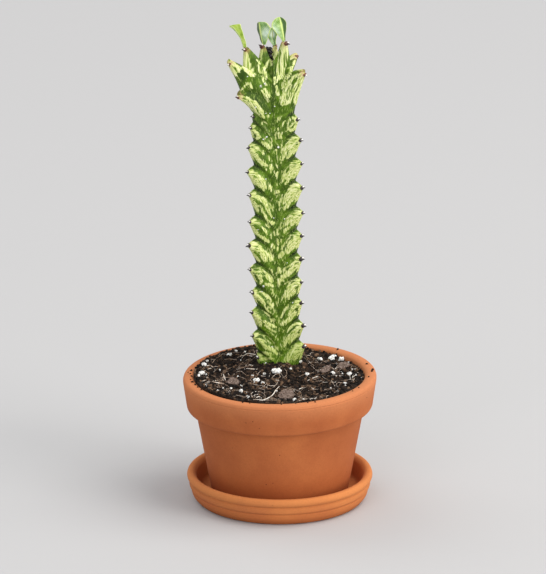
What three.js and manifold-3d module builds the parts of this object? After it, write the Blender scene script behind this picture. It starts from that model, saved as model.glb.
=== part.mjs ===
// A potted euphorbia: one three-angled, toothed and variegated stem with four small leaves at its crown,
// in potting mix, in a squat terracotta pot on a terracotta saucer.
// Millimetres, +Z up, the origin under the middle of the saucer. The stem's front valley faces -Y.
import * as THREE from "three";
import { mergeVertices } from "three/addons/utils/BufferGeometryUtils.js";
import Module from "manifold-3d";

// ---- Driving dimensions ----

const turnedSides = 48; // sides of everything thrown on a wheel
const clearance = 0.3; // kept between pieces that rest on or in each other
const facetClearance = 0.4; // the same between round walls, whose flats stand a little inside their corners
const halfSector = 60; // degrees from a rib's crest to the valleys beside it

// [radius, height, corner radius] of each corner of a thrown section
const saucer = {
  floorTop: 5,
  section: [
    [0, 0, 0], [47, 0, 0], [49.9, 3.6, 0], [50.3, 6.2, 0], [50, 6.8, 0], [51.3, 7.8, 0], [51.5, 10.2, 0],
    [50.8, 11.6, 0], [52.3, 12.2, 0], [52.8, 13.8, 0], [52, 16.2, 1.2], [49.4, 16.4, 1.2], [47.4, 14.4, 0],
    [45.6, 5, 1.6], [0, 5, 0],
  ],
};

const pot = {
  foot: saucer.floorTop + clearance,
  rimTop: 74,
  floorTop: 12,
  drainHole: 5, // radius
  rimRise: 0.02, // the rim stands this much higher for each mm towards +X: the pot dried out of true
};
pot.outside = [
  [pot.drainHole, pot.foot, 0], [38.8, pot.foot, 1.2], [47.9, 54.4, 0.8], [52.6, 55, 1.6], [55, 71.5, 0],
  [54.4, 73.4, 0], [52.6, pot.rimTop, 0], [50.2, pot.rimTop, 0], [48.6, 73, 0], [48.2, 71.4, 0],
];
pot.inside = [[47.6, 62], [42.6, 52], [33.6, pot.floorTop]]; // wall corners, from the lip down

const soil = {
  rings: 13,
  sectors: 60,
  edge: 71, // height at the pot's wall
  fall: 0.028, // lower by this much for each mm towards +X
  mound: 7.6, // rise round the stem's foot
  moundSpread: 19,
  holeTop: 96, // the hole for the stem is cut from above up to here
  grains: 110, // lumps of bark, peat and perlite that stand out of the surface
  grainsWithin: 45, // radius
  grainRise: [0.8, 2.2],
  grainSpread: [1.8, 3.4],
};

const stem = {
  foot: new THREE.Vector3(-0.6, 19.5, 77), // where its axis meets the soil: behind the pot's centre
  lean: -0.02, // the axis moves this much along X for each mm of height
  buriedTo: 54,
  roundBelow: 70, // the buried stub is round up to here
  ribbedFrom: 76.5, // and fully ribbed from here
  stubRadius: 10.4,
  crest: 0.9, // half the width of a rib's blunt edge
  ribAngle: 20, // angular half width of a rib that reaches ribReach, beside its crest
  ribReach: 9.7, // from the valley to a tooth's tip
  ribSharpness: 1.3, // power of the curve of a rib's flanks
  ribNarrowing: 0.6, // power by which a rib that reaches further gets narrower
  underTooth: 1.45, // power of the hollow curve under a tooth
  overTooth: 2.2, // power of the rounded curve over it
  crease: 1.1, // depth of the crease between the flanks of two teeth
  creaseSpread: 0.24, // of a tooth's height, to either side of the crease
  creaseStart: [2, 16], // degrees from the crest over which the crease deepens
  creaseFade: [34, 60], // degrees from the crest over which it fades
  creaseLost: 0.6, // share of its depth that it has lost in the valley
  tipShare: 0.74, // of a tooth's height, that its tip stands above the notch under it
  bluntShare: 0.08, // of a tooth's height, that a blunt end takes up
  rowStep: 2.6, // longest step between rows
};
// [height, radius] of the valleys between the ribs, from the soil to the growing point
stem.valley = [
  [70, 9.6], [86, 8.4], [110, 7.8], [215, 8], [236, 9.6], [246, 8], [251, 5.4], [254, 3], [257, 1.6],
];

// [height, drop]: how far a tooth's flank has come down where it meets the valley
stem.valleySweep = [[228, 13], [246, 7], [257.3, 1.5]];

// The teeth of the column, as [height, reach] of each tip, with a notch above each.
const notchAbove = 3.7;
const notchRadius = 13.1;
const leftTeeth = [
  [79.5, 13.8], [93, 16.8], [107, 17], [119, 16.4], [133, 17.6], [147.5, 18.1], [161.5, 17], [177.5, 16.8],
  [191.5, 17.8], [206, 16.8], [217.5, 15],
];
const rightTeeth = [
  [86.5, 16.8], [99, 16.6], [112.5, 15.6], [125, 15.9], [139, 16.2], [153, 16.8], [167, 17.8], [182, 17.8],
  [196.5, 17.8], [210.5, 17.4], [222.5, 15.6],
];
const backTeeth = [
  [89, 16.4], [103, 17], [116, 16.6], [130, 17.2], [144, 17.6], [158.5, 17.4], [172.5, 17], [187, 17.6],
  [201.5, 17.2], [215, 16.4], [228.5, 17.6],
];
// The crown's teeth are long horns. tip is the height that a horn grows from, lift how far its end rises
// above that, sway how far it leans sideways, blunt and width the height and depth of its end; top and notch
// are the height and radius of the notch over it.
const leftCrown = [
  { tip: 224, reach: 13.4, lift: 0, sway: 0, blunt: 0, width: 0, top: 226.5, notch: 12.8 },
  { tip: 237.6, reach: 23.2, lift: 0.4, sway: 0, blunt: 1.6, width: 0, top: 241.4, notch: 21.2 },
  { tip: 247.8, reach: 29.4, lift: 12.2, sway: 0, blunt: 2, width: 1, top: 251, notch: 18.8 },
  { tip: 253, reach: 18.6, lift: 12.6, sway: 0.4, blunt: 1.2, width: 2.2, top: 254.9, notch: 9 },
  { tip: 256.3, reach: 7, lift: 8.8, sway: 0, blunt: 0.6, width: 1.4, top: 257.3, notch: 2.6 },
];
const rightCrown = [
  { tip: 246, reach: 20.8, lift: 5.6, sway: 0, blunt: 2.2, width: 0, top: 251, notch: 12.2 },
  { tip: 254.3, reach: 9.2, lift: 13.2, sway: 0, blunt: 1.2, width: 2.6, top: 256, notch: 3.6 },
];
const backCrown = [
  { tip: 242.6, reach: 18, lift: 10, sway: -13, blunt: 1.8, width: 0, top: 246, notch: 13 },
  { tip: 255.2, reach: 6.4, lift: 6.8, sway: -1.4, blunt: 0.6, width: 1.4, top: 256.6, notch: 2.8 },
];
// [height, drop]: how far the skin between the horns lies below the height it grows from
const crownHollow = [[246, 0], [257.3, 5]];

// Limits that keep the skin sound at the growing point, where everything is small
const leastReach = 0.4; // of a rib past the valley
const leastCrestRadius = 5; // that a crest's angle is worked out for
const fullCreaseRadius = 8; // of the valley; the creases get shallower below it

const spine = {
  length: 1.7,
  radius: 0.7,
  sunk: 1.2, // how far its root reaches into the tooth
  spread: 0.5, // how far each of a pair turns from the tooth's direction, as a share
  droop: -0.1,
  hornLift: 2, // from this lift on, a tooth is a horn and its spines point along it
  hornDepth: 1.5, // the horn's direction is taken from this far above its tip's height
  outwardShare: 0.3, // how far a horn's spines are turned outwards from it
  sides: 3,
};

// Each leaf is folded along its midrib and opens towards the stem's axis.
// rib and horn say which horn bears it; facing is the direction that its channel opens in, in degrees.
const leafThickness = 0.9;
const leafEnd = { power: 1.6, blunt: 0.08 }; // the curve of a leaf's end, and the width that its tip keeps
const leaves = [
  { name: "leaf_left", rib: 0, horn: 3, offset: [-0.9, -0.4, 0.6], end: [-7, -1.6, 13.4], bow: [3, 0, 0.6],
    halfWidth: 4.1, petiole: 0.32, flare: 2.4, widest: 0.92, pointed: 0.35, facing: 60, opening: 70 },
  { name: "leaf_centre", rib: 0, horn: 4, offset: [0, 0, 0.5], end: [-0.4, -0.4, 13.4], bow: [-0.4, 0, 0],
    halfWidth: 5.6, petiole: 0.14, flare: 1.1, widest: 0.74, pointed: 0.5, facing: 50, opening: 68 },
  { name: "leaf_right", rib: 1, horn: 1, offset: [0, 0, 0.5], end: [-4.2, 0, 15.2], bow: [1.2, 0, 0],
    halfWidth: 5.4, petiole: 0.16, flare: 1.1, widest: 0.56, pointed: 0.8, facing: 130, opening: 70 },
  { name: "leaf_back", rib: 2, horn: 1, offset: [0, 0, 0.5], end: [1.4, 0.4, 10.6], bow: [0.3, 0.8, 0],
    halfWidth: 3.8, petiole: 0.22, flare: 1.1, widest: 0.6, pointed: 0.7, facing: 270, opening: 60 },
];

// ---- Colours and finishes ----

const finishes = {
  terracotta: new THREE.MeshStandardMaterial({ color: 0xaf623a, roughness: 0.85, metalness: 0 }),
  saucerClay: new THREE.MeshStandardMaterial({ color: 0xcd7d4b, roughness: 0.85, metalness: 0 }),
  soil: new THREE.MeshStandardMaterial({ color: 0x2a211b, roughness: 0.95, metalness: 0 }),
  stem: new THREE.MeshStandardMaterial({ color: 0x8fa35a, roughness: 0.55, metalness: 0 }),
  leaf: new THREE.MeshStandardMaterial({ color: 0x86a85c, roughness: 0.5, metalness: 0 }),
};

// ---- Helpers ----

const wasm = await Module();
wasm.setup();

// Repeatable random numbers from 0 to 1
function seededRandom(seed) {
  let state = seed;
  return () => {
    state = (state * 1664525 + 1013904223) % 4294967296;
    return state / 4294967296;
  };
}

const between = (low, high, share) => low + (high - low) * share;
const radians = THREE.MathUtils.degToRad;

// The value at x of a line through [x, value] points
function along(points, x) {
  if (x <= points[0][0]) return points[0][1];
  for (let i = 1; i < points.length; i++) {
    const [x0, y0] = points[i - 1];
    const [x1, y1] = points[i];
    if (x <= x1) return between(y0, y1, (x - x0) / (x1 - x0));
  }
  return points[points.length - 1][1];
}

function meshOf(name, geometry, material) {
  const merged = merge(geometry);
  merged.computeVertexNormals();
  const mesh = new THREE.Mesh(merged, material.clone());
  mesh.name = name;
  return mesh;
}

// A closed surface: rings of points, stacked from the bottom up and running counterclockwise from above,
// between two end points. slant(j) says which way the quads of column j are split.
function stackedRings(rings, bottom, top, slant = () => true) {
  const sides = rings[0].length;
  const points = [bottom, ...rings.flat(), top];
  const last = points.length - 1;
  const at = (i, j) => 1 + i * sides + (j % sides);
  const faces = [];
  for (let j = 0; j < sides; j++) {
    faces.push(0, at(0, j + 1), at(0, j));
    for (let i = 0; i < rings.length - 1; i++) {
      const [a, b, c, d] = [at(i, j), at(i, j + 1), at(i + 1, j + 1), at(i + 1, j)];
      if (slant(j)) faces.push(a, b, c, a, c, d);
      else faces.push(a, b, d, b, c, d);
    }
    faces.push(last, at(rings.length - 1, j), at(rings.length - 1, j + 1));
  }
  return geometryOf(points, faces);
}

function geometryOf(points, faces) {
  const geometry = new THREE.BufferGeometry().setFromPoints(points);
  geometry.setIndex(faces);
  return geometry;
}

// Shared vertices, and none of the flat triangles that a lathe leaves on its axis
function merge(geometry) {
  geometry.deleteAttribute("normal");
  geometry.deleteAttribute("uv");
  const merged = mergeVertices(geometry, 1e-4);
  const faces = [];
  for (let i = 0; i < merged.index.count; i += 3) {
    const corners = [0, 1, 2].map((k) => merged.index.getX(i + k));
    if (new Set(corners).size === 3) faces.push(...corners);
  }
  merged.setIndex(faces);
  return merged;
}

function solidOf(geometry) {
  const merged = merge(geometry);
  const vertProperties = Float32Array.from(merged.attributes.position.array);
  const triVerts = Uint32Array.from(merged.index.array);
  return new wasm.Manifold(new wasm.Mesh({ numProp: 3, vertProperties, triVerts }));
}

function geometryOfSolid(solid) {
  const result = solid.getMesh();
  const geometry = new THREE.BufferGeometry();
  geometry.setAttribute("position", new THREE.BufferAttribute(new Float32Array(result.vertProperties), 3));
  geometry.setIndex(Array.from(result.triVerts));
  return geometry;
}

// ---- Thrown clay: saucer and pot ----

// The outline through the corners, each rounded to its corner radius
function roundedOutline(corners) {
  const outline = new THREE.Path();
  const point = (corner) => new THREE.Vector2(corner[0], corner[1]);
  outline.moveTo(corners[0][0], corners[0][1]);
  for (let i = 1; i < corners.length - 1; i++) {
    const here = point(corners[i]);
    const radius = corners[i][2];
    if (radius > 0) {
      const start = here.clone().add(point(corners[i - 1]).sub(here).setLength(radius));
      const end = here.clone().add(point(corners[i + 1]).sub(here).setLength(radius));
      outline.lineTo(start.x, start.y);
      outline.quadraticCurveTo(here.x, here.y, end.x, end.y);
    } else {
      outline.lineTo(here.x, here.y);
    }
  }
  const end = corners[corners.length - 1];
  outline.lineTo(end[0], end[1]);
  const cornerSteps = 2;
  return outline.getPoints(cornerSteps);
}

function thrown(outline) {
  return new THREE.LatheGeometry(outline, turnedSides).rotateX(Math.PI / 2);
}

// Tips the pot's rim: the higher a point, the more it rises towards +X
function warp(geometry) {
  const position = geometry.attributes.position;
  const height = pot.rimTop - pot.foot;
  for (let i = 0; i < position.count; i++) {
    const share = (position.getZ(i) - pot.foot) / height;
    position.setZ(i, position.getZ(i) + pot.rimRise * position.getX(i) * share);
  }
  return geometry;
}

function makeSaucer() {
  return meshOf("saucer", thrown(roundedOutline(saucer.section)), finishes.saucerClay);
}

function makePot() {
  const corners = [...pot.outside, ...pot.inside.map(([radius, height]) => [radius, height, 0])];
  corners.push([pot.drainHole, pot.floorTop, 0], pot.outside[0]);
  return meshOf("pot", warp(thrown(roundedOutline(corners))), finishes.terracotta);
}

// ---- Stem ----

const ribs = [
  { bearing: 210, teeth: leftTeeth, crown: leftCrown },
  { bearing: 330, teeth: rightTeeth, crown: rightCrown },
  { bearing: 90, teeth: backTeeth, crown: backCrown },
].map(({ bearing, teeth, crown }) => ({ bearing, crown, keys: ribKeys(teeth, crown) }));

// A rib's edge as a run of notches and tips, from the soil up. order counts the notches: it is a whole
// number at each of them, and stem.tipShare past one at a tip.
function ribKeys(teeth, crown) {
  const horns = [
    ...teeth.map(([tip, reach]) => (
      { tip, reach, lift: 0, sway: 0, blunt: 0, width: 0, top: tip + notchAbove, notch: notchRadius })),
    ...crown,
  ];
  const keys = [{ z: stem.roundBelow, radius: notchRadius - 1, lift: 0, sway: 0, order: 0, isTip: false }];
  horns.forEach(({ tip, reach, lift, sway, blunt, width, top, notch }, order) => {
    const end = { z: tip - blunt / 2, radius: reach, lift, sway, order: order + stem.tipShare, isTip: true };
    keys.push(end);
    if (blunt > 0) {
      keys.push({ ...end, z: tip + blunt / 2, radius: reach - width, order: end.order + stem.bluntShare });
    }
    keys.push({ z: top, radius: notch, lift: 0, sway: 0, order: order + 1, isTip: false });
  });
  return keys;
}

// The rib's edge at height z: hollow under each tip, rounded over it
function ribEdge(keys, z) {
  const above = keys.find((key) => z <= key.z) ?? keys[keys.length - 1];
  const below = keys[Math.max(keys.indexOf(above) - 1, 0)];
  const share = above.z > below.z ? THREE.MathUtils.clamp((z - below.z) / (above.z - below.z), 0, 1) : 0;
  const outward = above.isTip ? share ** stem.underTooth : share ** stem.overTooth;
  return {
    radius: between(below.radius, above.radius, outward),
    lift: between(below.lift, above.lift, outward),
    sway: between(below.sway, above.sway, outward),
    order: between(below.order, above.order, share),
  };
}

// How deep the crease between two teeth is, beside a rib's crest
function creaseDepth(order, aside) {
  const away = Math.abs(order - Math.round(order)) / stem.creaseSpread;
  const deepened = THREE.MathUtils.smoothstep(aside, ...stem.creaseStart);
  const faded = 1 - stem.creaseLost * THREE.MathUtils.smoothstep(aside, ...stem.creaseFade);
  return stem.crease * Math.max(1 - away * away, 0) * deepened * faded;
}

// The point of the stem's skin in direction bearing (degrees) that grows from height z
function stemPoint(bearing, z, outset = 0) {
  const rib = ribs.reduce((best, next) => (turn(bearing, next) < turn(bearing, best) ? next : best));
  const aside = turn(bearing, rib);
  const valley = along(stem.valley, z);
  const edge = ribEdge(rib.keys, z + along(stem.valleySweep, z) * (aside / halfSector));
  const reach = Math.max(edge.radius - valley, leastReach);
  const halfAngle = stem.ribAngle * (stem.ribReach / reach) ** stem.ribNarrowing;
  const crestAngle = THREE.MathUtils.radToDeg(stem.crest / Math.max(edge.radius, leastCrestRadius));
  const share = Math.exp(-((Math.max(aside - crestAngle, 0) / halfAngle) ** stem.ribSharpness));
  const crease = creaseDepth(edge.order, aside) * Math.min(valley / fullCreaseRadius, 1);
  const ribbed = THREE.MathUtils.smoothstep(z, stem.roundBelow, stem.ribbedFrom);
  const radius = between(stem.stubRadius, valley + reach * share - crease, ribbed) + outset;
  const angle = radians(bearing);
  const swayAngle = radians(rib.bearing + 90);
  return new THREE.Vector3(
    axisAt(z).x + radius * Math.cos(angle) + edge.sway * share * Math.cos(swayAngle),
    axisAt(z).y + radius * Math.sin(angle) + edge.sway * share * Math.sin(swayAngle),
    z + edge.lift * share - along(crownHollow, z) * (1 - share),
  );
}

// Degrees between a bearing and a rib's
function turn(bearing, rib) {
  return Math.abs(((bearing - rib.bearing + 540) % 360) - 180);
}

function axisAt(z) {
  return new THREE.Vector3(stem.foot.x + stem.lean * (z - stem.foot.z), stem.foot.y, z);
}

// Bearings of the stem's columns: close together at each rib's crest, which lies between two of them
const crestColumn = 3;
const columnsAside = [-38, -20, -10, -crestColumn, crestColumn, 10, 20, 38, halfSector];
function stemBearings() {
  return [90, 210, 330].flatMap((bearing) => columnsAside.map((degrees) => bearing + degrees));
}

// Heights of the stem's rows: every tip, the notches that aren't next to one, and steps between them
function stemRows() {
  const closest = 0.5;
  const keys = ribs.flatMap((rib) => rib.keys);
  const heights = keys.filter(({ isTip }) => isTip).map(({ z }) => z);
  for (const z of [stem.roundBelow, ...keys.filter(({ isTip }) => !isTip).map((key) => key.z)]) {
    if (heights.every((other) => Math.abs(other - z) >= closest)) heights.push(z);
  }
  heights.sort((a, b) => a - b);
  const rows = [stem.buriedTo, heights[0]];
  for (const z of heights.slice(1)) {
    const below = rows[rows.length - 1];
    const steps = Math.ceil((z - below) / stem.rowStep);
    for (let i = 1; i <= steps; i++) rows.push(between(below, z, i / steps));
  }
  return rows;
}

function stemSkin(rows, outset) {
  const bearings = stemBearings();
  const rings = rows.map((z) => bearings.map((bearing) => stemPoint(bearing, z, outset)));
  const capRise = 1;
  const bottom = axisAt(rows[0] - capRise - outset);
  const highest = rows[rows.length - 1];
  const top = axisAt(highest - along(crownHollow, highest) + capRise + outset);
  // The quads are split one way on one side of a rib and the other way on its other side
  const columns = columnsAside.length;
  const crestAt = columnsAside.indexOf(crestColumn);
  return stackedRings(rings, bottom, top, (j) => j % columns < crestAt || j % columns === columns - 1);
}

// A tapered spine with its root sunk in the skin
function spineSolid(tip, direction) {
  const shape = new THREE.ConeGeometry(spine.radius, spine.length + spine.sunk, spine.sides);
  shape.translate(0, (spine.length - spine.sunk) / 2, 0);
  const turned = new THREE.Quaternion().setFromUnitVectors(new THREE.Vector3(0, 1, 0), direction);
  return solidOf(shape.applyQuaternion(turned).translate(tip.x, tip.y, tip.z));
}

// The middle of a rib's crest
function crestPoint(rib, z) {
  return stemPoint(rib.bearing - crestColumn, z).lerp(stemPoint(rib.bearing + crestColumn, z), 0.5);
}

// The tip of every tooth, and the way it points: a horn's along the horn, the others' outwards
function toothTips(rib) {
  const angle = radians(rib.bearing);
  const outward = new THREE.Vector3(Math.cos(angle), Math.sin(angle), spine.droop).normalize();
  return rib.keys.filter(({ isTip }, i) => isTip && !rib.keys[i - 1].isTip).map((key) => {
    const tip = crestPoint(rib, key.z);
    if (key.lift <= spine.hornLift) return { tip, direction: outward };
    const alongHorn = tip.clone().sub(crestPoint(rib, key.z + spine.hornDepth)).normalize();
    return { tip, direction: alongHorn.lerp(outward, spine.outwardShare).normalize() };
  });
}

function spinePair(rib, { tip, direction }) {
  const side = new THREE.Vector3(Math.cos(radians(rib.bearing + 90)), Math.sin(radians(rib.bearing + 90)), 0);
  return [-1, 1].map((hand) => {
    const pointing = direction.clone().addScaledVector(side, hand * spine.spread).normalize();
    return spineSolid(tip, pointing);
  });
}

function makeStem() {
  let solid = solidOf(stemSkin(stemRows(), 0));
  for (const rib of ribs) {
    for (const tooth of toothTips(rib)) {
      for (const point of spinePair(rib, tooth)) solid = solid.add(point);
    }
  }
  return meshOf("stem", geometryOfSolid(solid), finishes.stem);
}

// ---- Soil ----

const soilRandom = seededRandom(20);
const grains = Array.from({ length: soil.grains }, () => {
  const radius = soil.grainsWithin * Math.sqrt(soilRandom());
  const angle = 2 * Math.PI * soilRandom();
  return {
    x: radius * Math.cos(angle),
    y: radius * Math.sin(angle),
    rise: between(...soil.grainRise, soilRandom()),
    spread: between(...soil.grainSpread, soilRandom()),
  };
});

function soilHeight(x, y) {
  const fromStem = Math.hypot(x - stem.foot.x, y - stem.foot.y) / soil.moundSpread;
  const height = soil.edge - soil.fall * x + soil.mound * Math.exp(-fromStem * fromStem);
  let lump = 0;
  for (const grain of grains) {
    const away = Math.hypot(x - grain.x, y - grain.y) / grain.spread;
    lump = Math.max(lump, grain.rise * Math.exp(-away * away));
  }
  return height + lump;
}

function makeSoil() {
  const wall = pot.inside.map(([radius, height]) => [radius - facetClearance, height + clearance]);
  const edgeRadius = wall[0][0];
  const ring = (radius, heightAt) => Array.from({ length: soil.sectors }, (_, j) => {
    const angle = (2 * Math.PI * j) / soil.sectors;
    const [x, y] = [radius * Math.cos(angle), radius * Math.sin(angle)];
    return new THREE.Vector3(x, y, heightAt(x, y));
  });
  const rings = wall.toReversed().map(([radius, height]) => ring(radius, () => height));
  for (let i = 0; i < soil.rings; i++) {
    rings.push(ring(edgeRadius * (1 - i / soil.rings), soilHeight));
  }
  const bottom = new THREE.Vector3(0, 0, wall[2][1]);
  const filling = warp(stackedRings(rings, bottom, new THREE.Vector3(0, 0, soilHeight(0, 0))));
  const holeRows = stemRows().filter((z) => z < soil.holeTop);
  const hole = solidOf(stemSkin(holeRows, facetClearance));
  return meshOf("soil", geometryOfSolid(solidOf(filling).subtract(hole)), finishes.soil);
}

// ---- Leaves ----

// Half width of a leaf at a share of its length: a narrow stalk, widest near widest, then a rounded end
function leafHalfWidth(leaf, share) {
  if (share < leaf.widest) {
    return leaf.halfWidth * between(leaf.petiole, 1, (share / leaf.widest) ** leaf.flare);
  }
  const ended = (share - leaf.widest) / (1 - leaf.widest);
  return leaf.halfWidth * Math.max((1 - ended ** leafEnd.power) ** leaf.pointed, leafEnd.blunt);
}

function leafFrame(leaf) {
  const rib = ribs[leaf.rib];
  const horn = rib.crown[leaf.horn];
  const base = crestPoint(rib, horn.tip).add(new THREE.Vector3(...leaf.offset));
  const end = base.clone().add(new THREE.Vector3(...leaf.end));
  const middle = base.clone().lerp(end, 0.5).add(new THREE.Vector3(...leaf.bow));
  return new THREE.QuadraticBezierCurve3(base, middle, end);
}

// The middle surface of a leaf: share along it, and side from -1 to 1 across it
function leafPoint(leaf, midrib, share, side) {
  const facing = radians(leaf.facing);
  const along = midrib.getTangent(share);
  const open = new THREE.Vector3(Math.cos(facing), Math.sin(facing), 0);
  open.addScaledVector(along, -open.dot(along)).normalize();
  const across = new THREE.Vector3().crossVectors(along, open);
  const reach = Math.abs(side) * leafHalfWidth(leaf, share);
  const fold = radians(leaf.opening);
  return midrib.getPoint(share)
    .addScaledVector(across, Math.sign(side) * reach * Math.sin(fold))
    .addScaledVector(open, reach * Math.cos(fold));
}

function makeLeaf(leaf) {
  const lengthSteps = 9;
  const sides = [-1, -0.55, 0, 0.55, 1];
  const midrib = leafFrame(leaf);
  const tiny = 0.01;
  const points = [];
  for (const half of [1, -1]) {
    for (let i = 0; i <= lengthSteps; i++) {
      const share = i / lengthSteps;
      for (const side of sides) {
        const here = leafPoint(leaf, midrib, share, side);
        const up = leafPoint(leaf, midrib, Math.min(share + tiny, 1), side)
          .sub(leafPoint(leaf, midrib, Math.max(share - tiny, 0), side));
        const over = leafPoint(leaf, midrib, share, Math.min(side + tiny, 1))
          .sub(leafPoint(leaf, midrib, share, Math.max(side - tiny, -1)));
        const normal = up.cross(over).normalize();
        points.push(here.addScaledVector(normal, (half * leafThickness) / 2));
      }
    }
  }
  return meshOf(leaf.name, geometryOf(points, bladeFaces(lengthSteps, sides.length - 1)), finishes.leaf);
}

// Two faces of (rows + 1) x (columns + 1) points, split alike, and the wall round their rim
function bladeFaces(rows, columns) {
  const perFace = (rows + 1) * (columns + 1);
  const at = (i, j) => i * (columns + 1) + j;
  const faces = [];
  for (let i = 0; i < rows; i++) {
    for (let j = 0; j < columns; j++) {
      const [a, b, c, d] = [at(i, j), at(i, j + 1), at(i + 1, j + 1), at(i + 1, j)];
      faces.push(a, c, b, a, d, c);
      faces.push(perFace + a, perFace + b, perFace + c, perFace + a, perFace + c, perFace + d);
    }
  }
  const rim = [];
  for (let j = 0; j < columns; j++) rim.push(at(0, j));
  for (let i = 0; i < rows; i++) rim.push(at(i, columns));
  for (let j = columns; j > 0; j--) rim.push(at(rows, j));
  for (let i = rows; i > 0; i--) rim.push(at(i, 0));
  rim.forEach((here, i) => {
    const next = rim[(i + 1) % rim.length];
    faces.push(here, next, perFace + next, here, perFace + next, perFace + here);
  });
  return faces;
}

// ---- The potted plant ----

const plant = new THREE.Group();
plant.name = "potted_euphorbia";
plant.add(makeSaucer(), makePot(), makeSoil(), makeStem());
for (const leaf of leaves) plant.add(makeLeaf(leaf));

export default plant;
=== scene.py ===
import functools
import math
import random

import bpy
import numpy as np
from mathutils import Matrix, Vector, noise


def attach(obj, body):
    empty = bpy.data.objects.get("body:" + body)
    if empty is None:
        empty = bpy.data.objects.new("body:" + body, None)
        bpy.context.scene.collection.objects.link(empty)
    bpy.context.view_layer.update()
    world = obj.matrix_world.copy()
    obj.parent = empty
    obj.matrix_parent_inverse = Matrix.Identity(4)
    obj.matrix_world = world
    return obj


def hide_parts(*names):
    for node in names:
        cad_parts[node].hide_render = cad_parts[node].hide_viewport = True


# A potted euphorbia: a toothed, variegated stem in potting mix, in a terracotta pot on its saucer.
# Sizes in the dictionaries are in mm, and the front of the plant faces -Y.

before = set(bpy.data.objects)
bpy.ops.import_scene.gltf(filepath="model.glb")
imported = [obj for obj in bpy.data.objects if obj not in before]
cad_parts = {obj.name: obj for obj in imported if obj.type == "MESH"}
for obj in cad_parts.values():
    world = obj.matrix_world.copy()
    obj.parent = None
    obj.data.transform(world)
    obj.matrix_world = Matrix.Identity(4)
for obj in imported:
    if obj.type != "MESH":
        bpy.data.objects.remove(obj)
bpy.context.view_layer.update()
bpy.ops.object.select_all(action="DESELECT")
mm = 0.001
print("frame loaded:", sorted(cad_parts))


# Shared helpers

def linearColour(hexColour):
    number = int(hexColour.lstrip("#"), 16)
    channels = [(number >> shift & 255) / 255 for shift in (16, 8, 0)]
    return (*[c / 12.92 if c <= 0.04045 else ((c + 0.055) / 1.055) ** 2.4 for c in channels], 1)


def addNode(material, kind, settings=None, sockets=None, links=None, ramp=None):
    node = material.node_tree.nodes.new("ShaderNode" + kind)
    for name, value in (settings or {}).items():
        setattr(node, name, value)
    for name, value in (sockets or {}).items():
        node.inputs[name].default_value = linearColour(value) if isinstance(value, str) else value
    for name, source in (links or {}).items():
        material.node_tree.links.new(source, node.inputs[name])
    if ramp:
        while len(node.color_ramp.elements) < len(ramp):
            node.color_ramp.elements.new(0.5)
        for element, (place, colour) in zip(node.color_ramp.elements, ramp):
            element.position = place
            element.color = linearColour(colour) if isinstance(colour, str) else (colour, colour, colour, 1)
    return node


# A new material, its shader and the function that adds nodes to it
def newMaterial(name):
    material = bpy.data.materials.new(name)
    material.use_nodes = True
    return material, material.node_tree.nodes["Principled BSDF"], functools.partial(addNode, material)


def between(low, high, share):
    return low + (high - low) * share


def smoothStep(x, low, high):
    share = np.clip((x - low) / (high - low), 0, 1)
    return share * share * (3 - 2 * share)


def alongLine(points, x):
    return np.interp(x, [p[0] for p in points], [p[1] for p in points])


# The last step of a material: its colour, its relief as (height, strength, metres) and its shader's values
def coatShader(material, shader, colour, relief, values):
    material.node_tree.links.new(colour, shader.inputs["Base Color"])
    if relief:
        height, strength, depth = relief
        bump = addNode(material, "Bump", sockets={"Strength": strength, "Distance": depth},
                       links={"Height": height})
        material.node_tree.links.new(bump.outputs["Normal"], shader.inputs["Normal"])
    for name, value in values.items():
        shader.inputs[name].default_value = value
    return material


def selectOnly(*pieces):
    bpy.ops.object.select_all(action="DESELECT")
    for piece in pieces:
        piece.select_set(True)
    bpy.context.view_layer.objects.active = pieces[0]


def addAttribute(mesh, name, values, kind="FLOAT"):
    attribute = mesh.attributes.new(name, kind, "POINT")
    attribute.data.foreach_set("value" if kind == "FLOAT" else "vector", values)


def finishPiece(piece, slot, material, *replaced, smoothAngle=None):
    piece.data.materials.clear()
    piece.data.materials.append(material)
    selectOnly(piece)
    if smoothAngle:
        bpy.ops.object.shade_smooth_by_angle(angle=math.radians(smoothAngle))
    piece.select_set(False)
    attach(piece, "root")
    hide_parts(*replaced)
    return piece


def joinPieces(pieces, name):
    selectOnly(*pieces)
    bpy.ops.object.join()
    joined = bpy.context.view_layer.objects.active
    joined.name = joined.data.name = name
    joined.select_set(False)
    return joined


# Copies of a model, each with its own mesh, placed by matrices in metres and joined into one piece
def placeCopies(model, placements, name, reshape=None):
    copies = []
    for number, placement in enumerate(placements):
        copy = model.copy()
        copy.data = model.data.copy()
        bpy.context.collection.objects.link(copy)
        if reshape:
            reshape(copy.data, number)
        copy.data.transform(placement)
        copies.append(copy)
    bpy.data.objects.remove(model)
    return joinPieces(copies, name)


def stretched(x, y, z):
    return Matrix.Diagonal((x * mm, y * mm, z * mm, 1))


def placedAt(x, y, z):
    return Matrix.Translation(Vector((x, y, z)) * mm)


def turned(angle, axis):
    return Matrix.Rotation(angle, 4, axis)


# Camera, floor and light

# a long lens from 12 m away, because the photo shows next to no perspective
view = dict(elevation=19.5, distance=12000, lens=1328, sensor=36, clipEnd=40, target=(-3.85, 0, 126.3))


def makeCamera():
    data = bpy.data.cameras.new("camera")
    data.lens = view["lens"]
    data.sensor_width = view["sensor"]
    data.clip_end = view["clipEnd"]
    camera = bpy.data.objects.new("camera", data)
    bpy.context.collection.objects.link(camera)
    rise = math.radians(view["elevation"])
    away = Vector((0, -math.cos(rise), math.sin(rise)))
    camera.location = (Vector(view["target"]) + away * view["distance"]) * mm
    camera.rotation_euler = (math.radians(90) - rise, 0, 0)
    bpy.context.scene.camera = camera


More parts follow.
